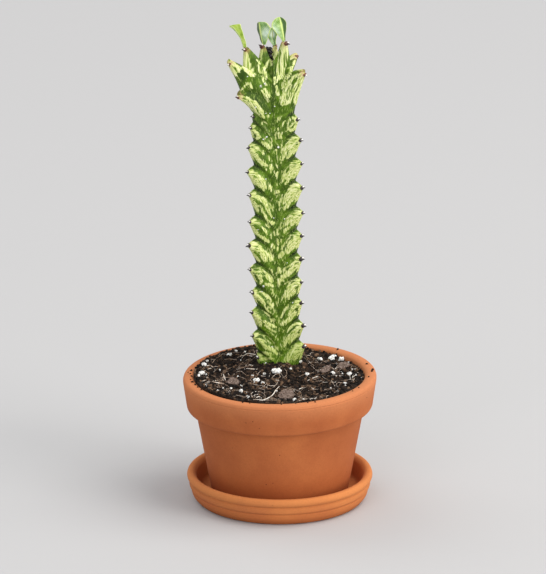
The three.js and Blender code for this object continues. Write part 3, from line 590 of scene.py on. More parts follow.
paint = dict(
    seed=11,
    # mm along the skin from a rib's edge at each turn from it
    skinReach=[(0, 0), (10, 3.5), (20, 7.5), (30, 10.3), (40, 12.4), (50, 14), (60, 15.4)],
    # only strokes that start broad are widened, and what is cream stands a little proud of the green
    widen=0.5, widenCrown=0.1, widenGreen=-0.05, broad=(0.35, 0.85),
    swell=0.22, swellDepth=(-0.4, 0.7), swellFrom=(76, 80),
    depthRange=(-1.05, 0.8), handRange=(-3, 3), breakup=(3.6, 3), corky=(1.2, 4.6),
    # the crown's own paint ends crownTurn behind a rib's edge, and from behindTurn its teeth's strokes show
    crownTurn=45, behindTurn=12,
    # each notch is a deeper green, partly the skin's own colour and partly painted shade in the recess, in
    # height over the tooth's tip and in turn; the crown's hollows and the flanks that face away from the
    # light get painted shade too
    notchDark=(2.8, 3.8, 5.2, 6.4), notchTurn=(8, 26), notchLost=0.8, notchGreen=1.4,
    hollowDepth=(-1.7, 1.1), hollowShade=0.5,
    # streaks arch over each tooth, round a middle (mm in from its edge, mm over its tip), and above archTo
    # they run along the crown's horns
    toothFall=0.16, toothTop=3.6, archMiddle=(2, -9), archSize=(8.5, 9.5), archTo=222, streakLean=0.25,
    toothApart=20, flankApart=7.0,
    # short pale dashes towards the valley
    dashes=7, dashTurn=(26, 59), dashOver=(-9, 5), dashLength=(0.9, 3.4), dashHalfWidth=(0.14, 0.3),
    dashSlant=1.6, dashTaper=0.6,
    # what every tooth has: a pale line up to its notch, partly a thin cream line and partly a painted
    # highlight where the upper edge catches the light, and cream along its outer edge
    everyTooth=[[(0, 0.2, 0.3), (0, 2, 0.3), (1, 3.5, 0.25)],
                [(5, 1.2, 0.6), (2, -1.5, 1.1), (1, -5.6, 1.3), (3, -7, 0.9)]],
)


# The crown is painted as it is seen from the front: each patch is a run of (x, height, radius), from
# the long left horn round to the right horn and the lowest on the left, and then the streaks between them
creamPatches = [
    [(-28.7, 261.6, 1.4), (-26.1, 259, 2.2), (-23.1, 256.7, 2)],
    [(-28.7, 258.8, 1), (-26.5, 255.6, 0.9), (-24.7, 252.7, 0.5)],
    [(-20.3, 266.9, 1.4), (-19.2, 263, 2.7), (-17.2, 257.9, 3.2), (-15.5, 253.7, 1.6)],
    [(-9.9, 270.6, 0.5), (-10.3, 267.6, 0.9), (-11.2, 264.8, 0.9)],
    [(2.8, 271.9, 1.6), (2.1, 266.2, 2.6), (1.1, 259.7, 2.6), (0.2, 254.2, 1.9), (-0.3, 251.4, 0.9)],
    [(13.2, 253.7, 1.4), (10.3, 250.5, 3.6), (6.7, 245, 4), (3.6, 239, 3.1), (1.5, 235.3, 1.3)],
    [(13.6, 252.8, 1), (11.4, 246.8, 1.8), (9.7, 240.9, 1.9), (9.3, 236.9, 1.3)],
    [(12.3, 256.5, 0.6), (8.4, 257.4, 0.7), (6, 256.1, 0.9), (4.9, 252.4, 0.8)],
    [(-23.7, 240.2, 1.2), (-19.8, 238.8, 2), (-15, 235.6, 2.5), (-11.1, 231.2, 2.1), (-9, 227.5, 0.8)],
    [(-22.2, 243.9, 0.4), (-19.8, 246.6, 0.5), (-18.1, 248.7, 0.6), (-15.5, 245.9, 0.5)],
    [(-6.1, 262, 0.5), (-8.3, 257.9, 0.9)], [(-9, 257.9, 0.5), (-7.7, 251.9, 0.9)],
    [(-12.4, 259.3, 0.5), (-10.7, 254.7, 0.7)], [(-10.5, 252.8, 0.4), (-7.9, 247.5, 0.6)],
    [(-4.4, 259.7, 0.5), (-4.8, 263, 0.7)], [(-2.5, 269.9, 0.9), (-2, 267.1, 1.3), (-3.3, 264.8, 0.6)],
    [(-3.1, 251.9, 0.5), (-3, 248.2, 0.5)], [(-1.8, 246.6, 0.7), (-1.1, 241.8, 0.8)],
    [(-10, 244.1, 0.4), (-6.4, 237.6, 0.6)], [(-8.3, 244.8, 0.7), (-5.8, 240.6, 0.8)],
    [(-1.4, 233, 0.5), (-1.5, 229.8, 0.6)], [(1, 233.5, 0.5), (0.2, 227.5, 0.5)],
    [(3.6, 228.9, 0.5), (5.4, 232.1, 0.4)], [(-6.8, 229.3, 0.4), (-5.7, 226.1, 0.5)],
    [(-10.7, 271.2, 0.5), (-11.6, 268, 0.8), (-12.4, 265.3, 0.5)], [(-10.3, 264.3, 0.3), (-10.7, 262, 0.4)],
    [(-13.1, 262.5, 0.3), (-11.1, 260.2, 0.4)], [(-4.8, 261.1, 0.5), (-5, 259.3, 0.5)],
    [(-4.6, 263.6, 0.5), (-3.3, 264.3, 0.7), (-2.2, 265.3, 0.5)], [(-0.7, 252.4, 0.5), (-1.6, 249.1, 0.4)],
    [(2.3, 256, 0.4), (1.9, 253.3, 0.5), (1.5, 251.4, 0.3)], [(3.2, 252.8, 0.4), (2.5, 250.1, 0.4)],
    [(4.5, 252.4, 0.3), (3.6, 248.7, 0.4), (2.3, 246.4, 0.3)], [(1.5, 248.7, 0.4), (1, 245.4, 0.4)],
    [(2.3, 242.7, 0.5), (1.5, 240.4, 0.5)], [(0.6, 237.6, 0.5), (1, 235.8, 0.5)],
    [(-1.1, 232.1, 0.6), (-1.4, 230.3, 0.4)], [(2.3, 230.7, 0.6), (1.5, 228.9, 0.5)],
    [(4.9, 231.6, 0.5), (4.1, 229.8, 0.4)], [(-0.3, 227.5, 0.5), (-0.7, 225.6, 0.4)],
    [(-7.2, 228.4, 0.4), (-6.3, 226.1, 0.3)], [(-8.5, 224.7, 0.5), (-7.2, 222.9, 0.5)],
    [(4.9, 257.4, 0.5), (6.7, 258.3, 0.4), (8.4, 257.4, 0.3)],
    [(-19.4, 248.7, 0.4), (-17.2, 248.7, 0.6), (-15.9, 245.9, 0.5)],
]
backHornPatches = [
    [(10.1, 267, 0.9), (8.6, 265.8, 1.3), (6.5, 263.6, 0.9)], [(11, 263.5, 0.3), (10.4, 259.7, 0.3)],
    [(-3.1, 269.4, 0.7), (-2.2, 266.8, 1.1), (-3.6, 263.5, 0.9)], [(-1.6, 269, 0.3), (-1.2, 264, 0.4)],
]
greenStrokes = [
    [(-27.4, 260.7, 0.4), (-25.2, 257.4, 0.6), (-23.3, 254.7, 0.7)],
    [(-18.3, 267.3, 0.4), (-15, 260.7, 1), (-12.4, 253.7, 1.3)],
    [(1.1, 270.8, 0.2), (-0.1, 265.3, 0.4), (-0.4, 253.7, 0.4)], [(2.5, 267.1, 0.2), (2.3, 257.9, 0.3)],
    [(11.9, 253.7, 0.2), (8.8, 250.1, 0.4), (6, 244.1, 0.4), (4.5, 238.6, 0.5)],
    [(12.7, 252.4, 0.2), (10.6, 247.8, 0.4), (8.4, 242.2, 0.4), (6.7, 236.3, 0.4)],
    [(7.1, 254.7, 0.7), (8, 255.4, 0.4)], [(10.6, 253.3, 0.2), (6.7, 248.7, 0.4), (3.6, 242.7, 0.4)],
    [(-19.4, 239.2, 0.2), (-14.2, 234.9, 0.3), (-10.7, 229.3, 0.4)],
    [(8.4, 251.4, 0.2), (7.5, 246.4, 0.3), (6.2, 239.9, 0.3)],
    [(9.9, 252.4, 0.2), (9.3, 248.7, 0.2), (8.8, 245, 0.2)],
    [(4.9, 246.4, 0.2), (4.1, 242.7, 0.3), (3.6, 238.5, 0.2)], [(2.3, 238.5, 0.2), (3.6, 235.8, 0.2)],
    [(6.2, 237.2, 0.2), (5.4, 234.9, 0.3)], [(-21.5, 239.5, 0.1), (-17.2, 238.5, 0.2), (-14.2, 234.4, 0.2)],
    [(-19.4, 237.6, 0.1), (-15, 233, 0.2), (-12.4, 228.4, 0.2)], [(0.4, 267.1, 0.2), (-0.1, 257.9, 0.2)],
    [(3.4, 267.1, 0.1), (3.6, 260.6, 0.2)], [(-17.6, 262.9, 0.1), (-16.3, 257.9, 0.2), (-15, 253.7, 0.2)],
]
# patches of painted shade, as (x, height, radius) seen from the front, in the crown's hollows and on the
# flanks of its horns that face away from the light
crownShadePatches = [
    [(-19.6, 255.6, 1.8), (-22, 252, 2.6), (-23.2, 247, 1.2)],
    [(-20.7, 243.4, 1), (-16, 242, 2.2), (-11, 238, 2.4), (-7.5, 233, 1.6)],
    [(8.6, 235, 0.8), (7.6, 231, 1.8)], [(8.6, 262.5, 1), (9.5, 258.5, 1.5)],
    [(-9.6, 266, 0.6), (-8.4, 261, 0.8)], [(-15.6, 266, 0.5), (-13, 259, 0.8)],
    [(-6.6, 272, 1.2), (-5.8, 266, 1.2)], [(-2.2, 258, 0.6), (-3.4, 246, 1), (-4.2, 232, 0.8)],
]
frontRise = 0.354  # a point further back by 1 mm looks this much higher from the front


def segmentDistance(x, y, start, end):
    dx, dy = end[0] - start[0], end[1] - start[1]
    share = np.clip(((x - start[0]) * dx + (y - start[1]) * dy) / max(dx * dx + dy * dy, 1e-9), 0, 1)
    return np.hypot(x - start[0] - share * dx, y - start[1] - share * dy) - between(start[2], end[2], share)


def patchDepth(x, y, patches, widen=0):
    depth = np.full(x.shape, -50.0)
    for patch in patches:
        for start, end in zip(patch, patch[1:]):
            depth = np.maximum(depth, widen - segmentDistance(x, y, start, end))
    return depth


# How deep in cream (+) or green (-) each point of a flank lies, in mm, from the strokes of its teeth
def flankDepth(rib, flank, turns, rows):
    rng = random.Random(paint["seed"] + rib["bearing"])
    reach = alongLine(paint["skinReach"], turns)[:, None]
    cream = np.full((len(turns), len(rows)), -20.0)
    green = cream.copy()
    for tip, strokes in zip(rib["tips"], flank):
        dashes = []
        for _ in range(paint["dashes"]):
            turn, over = rng.uniform(*paint["dashTurn"]), rng.uniform(*paint["dashOver"])
            length, width = rng.uniform(*paint["dashLength"]), rng.uniform(*paint["dashHalfWidth"])
            end = (turn + length * paint["dashSlant"], over - length, width * paint["dashTaper"])
            dashes.append([(turn, over, width), end])
        for stroke in strokes + paint["everyTooth"] + dashes:
            share = float(smoothStep(stroke[0][2], *paint["broad"]))
            widen = paint["widenGreen"] if stroke[0][2] < 0 else paint["widen"] * share
            for start, end in zip(stroke, stroke[1:]):
                ends = [(alongLine(paint["skinReach"], turn), tip + over, abs(width) + widen)
                        for turn, over, width in (start, end)]
                depth = -segmentDistance(reach, rows[None, :], *ends)
                layer = green if start[2] < 0 else cream
                np.maximum(layer, depth, out=layer)
    return np.minimum(cream, -green)


# The flanks seen from the front are painted in order, and the others take their teeth from the same lists
def flankOf(rib, hand, rng):
    if rib["hand"] == hand:
        return leftFlank if hand > 0 else rightFlank
    return [leftFlank[0]] + [rng.choice(leftFlank[4:] + rightFlank[3:10]) for _ in rib["tips"][1:]]


hornTips = [np.array(crestPoint(rib, horn[0])) for rib in ribs for horn in rib["horns"] if horn[2] > 0]


# A column of skin as (depth in cream or green, how far streaks break up its edge, shade), where shade above 0
# is the notches' deeper green and painted shade, and below 0 is cork
def paintColumn(rib, aside, rows, skin, cream):
    turn, toFront = abs(aside), aside * rib["hand"]
    up = skin[:, 2] + frontRise * skin[:, 1]
    patches, widen = (creamPatches, paint["widenCrown"]) if rib["hand"] else (backHornPatches, 0)
    byHand = patchDepth(skin[:, 0], up, patches, widen)
    painted = smoothStep(up, *rib["crownStart"]) * (toFront > -paint["crownTurn"])
    if not rib["hand"] or toFront < -paint["behindTurn"]:
        byHand = np.maximum(byHand, cream)
    strokes = patchDepth(skin[:, 0], up, greenStrokes)
    byHand = np.minimum(np.clip(byHand, *paint["handRange"]), -strokes)
    cream = np.clip(between(cream, byHand, painted), *paint["depthRange"])
    tips = rib["tips"]
    shifted = rows + paint["toothFall"] * turn
    over = shifted - tips[np.clip(np.searchsorted(tips, shifted) - 1, 0, len(tips) - 1)]
    # the notch over each tooth is a deeper green with no cream, partly its own colour and partly painted
    # shade where the recess lies in shadow
    rise, full, fade, end = paint["notchDark"]
    shade = smoothStep(over, rise, full) * (1 - smoothStep(over, fade, end))
    shade = shade * (1 - paint["notchLost"] * smoothStep(turn, *paint["notchTurn"]))
    cream = cream - paint["notchGreen"] * shade * (1 - painted)
    # painted shade over the crown's hollows and the flanks that face away from the light
    hollow = smoothStep(patchDepth(skin[:, 0], up, crownShadePatches), *paint["hollowDepth"])
    shade = np.maximum(shade * (1 - painted), paint["hollowShade"] * hollow * painted)
    # the tips of the crown's horns are corky, which is kept as a negative shade
    for tip in hornTips:
        cork = 1 - smoothStep(np.linalg.norm(skin - tip, axis=1), *paint["corky"])
        shade = np.where(cork > 0, np.minimum(shade, -cork), shade)
    return np.stack([cream, between(*paint["breakup"], painted), shade], axis=-1)


# Where a column of skin lies along and across the streaks, with a third number that keeps the flanks apart
def streakSpace(rib, aside, rows):
    tips, size = rib["tips"], paint["archSize"]
    shifted = rows + paint["toothFall"] * abs(aside)
    reach = float(alongLine(paint["skinReach"], abs(aside)))
    tooth = np.clip(np.searchsorted(tips + paint["toothTop"], shifted), 0, len(tips) - 1)
    fromMiddle = [(reach - paint["archMiddle"][0]) / size[0],
                  (rows - tips[tooth] - paint["archMiddle"][1]) / size[1]]
    arched = shifted < paint["archTo"]
    along = np.where(arched, np.arctan2(fromMiddle[1], fromMiddle[0]) * size[0], rows)
    across = np.where(arched, np.hypot(*fromMiddle) * size[0] + paint["toothApart"] * tooth,
                      reach + paint["streakLean"] * rows)
    flank = np.full(rows.shape, rib["bearing"] + paint["flankApart"] * (aside < 0))
    return np.stack([along, across, flank], axis=-1)


# The skin is a tube of columns, each grown up a flank from below the soil to the crown's hollow
def makeStem():
    rng = random.Random(paint["seed"])
    rows = np.concatenate([
        np.arange(stem["bottom"], stem["crownFrom"], stem["columnRow"]),
        np.arange(stem["crownFrom"], stem["top"], stem["crownRow"]), [stem["top"]]])
    steps = stem["columnsPerSide"]
    halfSides = np.array([stem["flankTurn"] * (step / steps) ** stem["columnSpacing"]
                          for step in range(1, steps + 1)])
    turns = np.concatenate([[0], halfSides])
    points, tone, streak = [], [], []
    for rib in (ribs[2], ribs[0], ribs[1]):
        depths = {hand: flankDepth(rib, flankOf(rib, hand, rng), turns, rows) for hand in (-1, 1)}
        for aside in [*-halfSides[-2::-1], 0, *halfSides]:
            cream = depths[-1 if aside < 0 else 1][int(np.abs(turns - abs(aside)).argmin())]
            if aside == 0:
                cream = (depths[-1][0] + depths[1][0]) / 2
            skin = skinPoints(rib, aside, rows)
            painted = paintColumn(rib, aside, rows, skin, cream)
            swell = paint["swell"] * smoothStep(painted[:, 0], *paint["swellDepth"])
            skinOut = swell * smoothStep(rows, *paint["swellFrom"])
            angle = math.radians(rib["bearing"] + aside)
            skin[:, 0] += skinOut * math.cos(angle)
            skin[:, 1] += skinOut * math.sin(angle)
            points.append(skin)
            tone.append(painted)
            streak.append(streakSpace(rib, aside, rows))
    grid = np.array(points)
    columnCount, rowCount = grid.shape[:2]
    vertices = grid.reshape(-1, 3) * mm
    faces = []
    for i in range(columnCount):
        after = (i + 1) % columnCount
        for j in range(rowCount - 1):
            here, beside = i * rowCount + j, after * rowCount + j
            faces.append((here, beside, beside + 1, here + 1))
    faces.append([i * rowCount + rowCount - 1 for i in range(columnCount)])
    faces.append([i * rowCount for i in reversed(range(columnCount))])
    mesh = bpy.data.meshes.new("stem_skin")
    mesh.from_pydata(vertices.tolist(), [], faces)
    for name, values in (("tone", tone), ("streak", streak)):
        addAttribute(mesh, name, np.array(values).reshape(-1).astype(np.float32), "FLOAT_VECTOR")
    piece = bpy.data.objects.new("stem_skin", mesh)
    bpy.context.collection.objects.link(piece)
    return piece


# Waxy succulent skin, grown: fine streaks of green through cream, and a soft gloss from its wax
def makeSkin():
    material, shader, add = newMaterial("waxySucculentSkin")
    tone = add("SeparateXYZ", links={0: add("Attribute", {"attribute_name": "tone"}).outputs["Vector"]})
    # streaks about 5 mm long and 1.2 mm apart, and between them finer ones half as far apart
    streakPlace = add("Mapping", {"vector_type": "POINT"}, {"Scale": (0.2, 0.85, 1)}, {
        "Vector": add("Attribute", {"attribute_name": "streak"}).outputs["Vector"]})
    streaks = add("TexNoise", sockets={"Scale": 1, "Detail": 4, "Roughness": 0.7},
                  links={"Vector": streakPlace.outputs[0]})
    fine = add("TexNoise", sockets={"Scale": 2.1, "Detail": 3, "Roughness": 0.7},
               links={"Vector": streakPlace.outputs[0]})
    centred = add("Math", {"operation": "SUBTRACT"}, {1: 0.5}, {0: streaks.outputs["Fac"]})
    field = add("Math", {"operation": "MULTIPLY_ADD"}, links={
        0: centred.outputs[0], 1: tone.outputs["Y"], 2: tone.outputs["X"]})
    mask = add("MapRange", {"interpolation_type": "SMOOTHSTEP"}, {1: -0.22, 2: 0.2}, {0: field.outputs[0]})
    place = add("TexCoord").outputs["Object"]
    cloud = add("TexNoise", sockets={"Scale": 1 / 0.004, "Detail": 3}, links={"Vector": place})
    green = add("ValToRGB", links={"Fac": cloud.outputs["Fac"]},
                ramp=[(0.3, "#355002"), (0.5, "#466604"), (0.7, "#5f8210")])
    # a deeper green where shade is above 0: partly the notches' own colour, and painted shade in the notches
    # and the crown's hollows
    deepShare = add("Math", {"operation": "MAXIMUM"}, {1: 0}, {0: tone.outputs["Z"]})
    deep = add("Mix", {"data_type": "RGBA"}, {7: "#142c04"},
               {0: deepShare.outputs[0], 6: green.outputs["Color"]})
    # a few streaks of the green are paler, and the cream is mottled with green
    paleStreaks = add("ValToRGB", links={"Fac": fine.outputs["Fac"]},
                      ramp=[(0.55, 0.0), (0.61, 0.45), (0.69, 0.85)])
    streaked = add("Mix", {"data_type": "RGBA"}, {7: "#a9bd62"},
                   {0: paleStreaks.outputs["Color"], 6: deep.outputs[2]})
    cream = add("ValToRGB", links={"Fac": fine.outputs["Fac"]},
                ramp=[(0.37, "#5f8422"), (0.42, "#a3b855"), (0.48, "#d3dc92"), (0.56, "#e6ebae"),
                      (0.69, "#fbfadc")])
    # the cream is greener on the old wood by the soil, and palest in the crown
    height = add("SeparateXYZ", links={0: place})
    age = add("MapRange", {}, {1: 0.075, 2: 0.265}, {0: height.outputs["Z"]})
    ageTint = add("ValToRGB", links={"Fac": age.outputs[0]},
                  ramp=[(0.02, "#d2dcae"), (0.14, "#f2f3dc"), (0.78, "#f4f5e4"), (0.9, "#fffff8")])
    aged = add("Mix", {"data_type": "RGBA", "blend_type": "MULTIPLY"}, {0: 1}, {
        6: cream.outputs["Color"], 7: ageTint.outputs["Color"]})
    colour = add("Mix", {"data_type": "RGBA"},
                 links={0: mask.outputs[0], 6: streaked.outputs[2], 7: aged.outputs[2]})
    # corky brown flecks at the horns' tips
    corkNoise = add("ValToRGB", links={"Fac": fine.outputs["Fac"]}, ramp=[(0.42, 0.15), (0.6, 1.0)])
    corkShare = add("Math", {"operation": "MULTIPLY", "use_clamp": True}, {1: -0.8}, {0: tone.outputs["Z"]})
    corkFleck = add("Math", {"operation": "MULTIPLY"}, links={
        0: corkShare.outputs[0], 1: corkNoise.outputs["Color"]})
    corked = add("Mix", {"data_type": "RGBA"}, {7: "#b98a63"},
                 {0: corkFleck.outputs[0], 6: colour.outputs[2]})
    return coatShader(material, shader, corked.outputs[2], (fine.outputs["Fac"], 0.35, 0.0002),
                      {"Roughness": 0.48, "IOR": 1.42, "Specular IOR Level": 0.3})


stemPiece = finishPiece(makeStem(), "stem", makeSkin(), "stem", smoothAngle=60)
print("stem made:", len(stemPiece.data.polygons), "faces")


# Spines

spine = dict(
    length=1.6, radius=0.8, point=0.03, apart=0.35, bend=0.3, spread=0.3, sides=9, cuts=4,
    shield=1.3, shieldShape=(1.2, 0.95, 0.7), sunk=0.05, flake=0.62, flakePlace=(0.3, 0.75, 0.6),
    flakeShape=(1.2, 0.6, 0.9), droop=-0.1, hornLift=2, hornDepth=1.5, outwardShare=0.3, crownFrom=230,
    seed=12, size=(0.85, 1.2), roll=0.2, tilt=(0.1, 0.15), smoothAngle=60,
)


# Its tint rises from 0 at the shield to 1 at the points, and is lower by 1 on the flake
def tintSpine(part, pale):
    heights = [max(vertex.co.z, 0) / spine["length"] for vertex in part.data.vertices]
    addAttribute(part.data, "tint", [height - pale for height in heights])
    return part


# A pair of spines on their horny shield, pointing along +Z
def spineModel(flaked=True):
    bpy.ops.object.select_all(action="DESELECT")
    bpy.ops.mesh.primitive_uv_sphere_add(
        segments=14, ring_count=8, radius=spine["shield"], location=(0, 0, 0))
    shield = bpy.context.object
    shield.scale = spine["shieldShape"]
    bpy.ops.object.transform_apply(location=False, rotation=False, scale=True)
    parts = [tintSpine(shield, 0)]
    for hand in (-1, 1):
        bpy.ops.mesh.primitive_cone_add(
            vertices=spine["sides"], radius1=spine["radius"], radius2=spine["point"], depth=spine["length"],
            location=(0, 0, spine["length"] / 2))
        cone = bpy.context.object
        bpy.ops.object.mode_set(mode="EDIT")
        bpy.ops.mesh.select_all(action="SELECT")
        bpy.ops.mesh.subdivide(number_cuts=spine["cuts"])
        bpy.ops.object.mode_set(mode="OBJECT")
        bpy.ops.object.transform_apply(location=True, rotation=False, scale=False)
        for vertex in cone.data.vertices:
            share = vertex.co.z / spine["length"]
            lean = spine["apart"] + spine["spread"] * vertex.co.z + spine["bend"] * share * share
            vertex.co.x += hand * lean
        parts.append(tintSpine(cone, 0))
    if flaked:
        # a pale flake on the upper side of the shield: partly dried tissue, partly a painted glint where the
        # shield catches the light
        bpy.ops.mesh.primitive_ico_sphere_add(
            subdivisions=2, radius=spine["flake"], location=spine["flakePlace"])
        flake = bpy.context.object
        flake.scale = spine["flakeShape"]
        bpy.ops.object.transform_apply(location=True, rotation=False, scale=True)
        parts.append(tintSpine(flake, 1))
    return joinPieces(parts, "spine_pair")


# The tip of every tooth, the way its spines point, and whether it is in the crown
def toothTips():
    tips = []
    for rib in ribs:
        angle = math.radians(rib["bearing"])
        outward = Vector((math.cos(angle), math.sin(angle), spine["droop"])).normalized()
        keys = rib["keys"]
        for number, (z, _, lift, _, _, isTip) in enumerate(keys):
            # a blunt tip has two keys, and its spines stand on the lower one
            if not isTip or keys[number - 1][5]:
                continue
            tip = crestPoint(rib, z)
            direction = outward
            if lift > spine["hornLift"]:
                alongHorn = (tip - crestPoint(rib, z + spine["hornDepth"])).normalized()
                direction = alongHorn.lerp(outward, spine["outwardShare"]).normalized()
            tips.append((tip, direction, z > spine["crownFrom"]))
    return tips


# Horn, grown: brown-black on the column, red-brown and lighter where young, with a soft gloss
def makeHorny(name, ramp):
    material, shader, add = newMaterial(name)
    tint = add("Attribute", {"attribute_name": "tint"})
    place = add("TexCoord").outputs["Object"]
    mottle = add("TexNoise", sockets={"Scale": 1 / 0.0008, "Detail": 2}, links={"Vector": place})
    shade = add("Math", {"operation": "MULTIPLY_ADD"}, {1: 0.4}, {
        0: mottle.outputs["Fac"], 2: tint.outputs["Fac"]})
    colour = add("ValToRGB", links={"Fac": shade.outputs[0]}, ramp=ramp)
    return coatShader(material, shader, colour.outputs["Color"], None, {"Roughness": 0.28, "IOR": 1.54})


def makeSpines(name, inCrown, rng):
    placements = []
    for tip, direction, isInCrown in toothTips():
        if isInCrown == inCrown:
            # the shield's edge faces across the rib, so that one spine points to either side
            across = Vector((0, 0, 1)).cross(direction).normalized()
            turn = Matrix((across, direction.cross(across), direction)).transposed().to_4x4()
            size = rng.uniform(*spine["size"])
            tilt = turned(rng.gauss(0, spine["roll"]), "Z") @ turned(rng.gauss(*spine["tilt"]), "X")
            base = placedAt(*(tip - direction * spine["sunk"]))
            placements.append(base @ turn @ tilt @ stretched(size, size, size))
    return placeCopies(spineModel(), placements, name)


# The newest spines are packed from the bottom of the hollow at the growing tip up to between the topmost
# horns, a dark mass that also stands in for the shade in that hollow; spots: (x, height, size) as seen from
# the front
newest = dict(
    seed=13, jitter=0.7, lean=50, leanSpread=15, roll=0.6, stretch=1.3,
    spots=[(-6.9, 269.4, 0.8), (-5.7, 269.2, 0.9), (-6.4, 267.8, 0.9), (-5.1, 267.3, 0.9), (-5.6, 266, 0.8),
           (-6.9, 266.6, 0.6), (-5.4, 264.6, 1.1), (-5, 263.2, 1.2), (-4.7, 261.6, 1.3), (-4.4, 260, 1.4)],
)


def makeNewestSpines():
    rng = random.Random(newest["seed"])
    placements = []
    for x, up, size in newest["spots"]:
        y = axisAt(up)[1] + rng.uniform(-newest["jitter"], newest["jitter"])
        lean = math.radians(newest["lean"] + rng.gauss(0, newest["leanSpread"]))
        turn = turned(lean, "X") @ turned(rng.gauss(0, newest["roll"]), "Z")
        shape = stretched(size, size, size * newest["stretch"])
        placements.append(placedAt(x, y, up - frontRise * y) @ turn @ shape)
    return placeCopies(spineModel(flaked=False), placements, "newest_spines_and_hollow_shade")


# each ramp's palest stop colours the flakes, partly dried tissue and partly a painted glint
agedHorn = makeHorny("agedSpineHorn", [(0, "#f0ece6"), (0.08, "#321c12"), (0.5, "#180d09"), (1, "#0c0705")])
youngHorn = makeHorny("youngSpineHorn",
                      [(0, "#f4eee6"), (0.08, "#7c4a2e"), (0.45, "#54250f"), (1, "#2c1008")])
spineRandom = random.Random(spine["seed"])
for piece, material in (
        (makeSpines("column_spines", False, spineRandom), agedHorn),
        (makeSpines("crown_spines", True, spineRandom), youngHorn),
        # the newest spines take the darkest horn, so that they also stand in for the shade in the hollow
        (makeNewestSpines(), agedHorn)):
    finishPiece(piece, "stem", material, "stem", smoothAngle=spine["smoothAngle"])
print("spines made")


# Leaves

leafShape = dict(rows=30, columns=24, thickness=0.42, endPower=1.6, endBlunt=0.08, wave=0.18, waves=5,
                 waveLag=2, darkness=4, sheenSide=0.45, sheenShare=0.22)
# Each stands on a horn of a rib. end and bow are from its base, facing is the way it opens and opening how
# far (degrees), halves the width of either half, lime how yellow it is, dark the side that is folded away
# from the light and gets painted shade, and sheen the (side, share, strength) of its painted highlight on the
# pale glaucous wax.
leaves = [
    dict(name="leaf_left", rib=0, horn=3, offset=(-1.3, -0.4, 0.6), end=(-7.3, -1.6, 13.8), bow=(2.8, 0, 0.8),
         halfWidth=4.6, petiole=0.38, flare=2.6, widest=0.92, pointed=0.14, facing=60, opening=70, lime=0.9,
         halves=(0.95, 0.4), skew=-2.6, dark=-0.1, sheen=(0.6, 0.8, 0.3)),
    dict(name="leaf_centre", rib=0, horn=4, offset=(0.2, 0, 0.5), end=(-2.4, -0.4, 13.9), bow=(-0.6, 0, 0),
         halfWidth=5.6, petiole=0.22, flare=0.85, widest=0.66, pointed=0.36, facing=50, opening=68, lime=0.12,
         halves=(1.18, 0.6), skew=1.1, dark=1, sheen=(-0.65, 0.5, 1)),
    dict(name="leaf_right", rib=1, horn=1, offset=(-0.2, 0, 0.5), end=(-2.7, 0, 14.6), bow=(0.5, 0, 0),
         halfWidth=5.4, petiole=0.16, flare=1.1, widest=0.64, pointed=0.56, facing=130, opening=70, lime=0.3,
         halves=(1.02, 1.1), skew=-1.7, dark=-1, sheen=(0.9, 0.5, 0.8)),
    dict(name="leaf_back", rib=2, horn=1, offset=(0, 0, 0.5), end=(-1, 0.4, 10.8), bow=(-2, 0.8, 0),
         halfWidth=3.4, petiole=0.3, flare=1.1, widest=0.6, pointed=0.7, facing=270, opening=60, lime=0,
         halves=(1, 1), skew=0, dark=0, sheen=(0.1, 0.6, 1.3)),
]


def leafHalfWidth(leaf, share):
    if share < leaf["widest"]:
        return leaf["halfWidth"] * between(leaf["petiole"], 1, (share / leaf["widest"]) ** leaf["flare"])
    ended = (share - leaf["widest"]) / (1 - leaf["widest"])
    narrowing = max(1 - ended ** leafShape["endPower"], 0) ** leaf["pointed"]
    return leaf["halfWidth"] * max(narrowing, leafShape["endBlunt"])


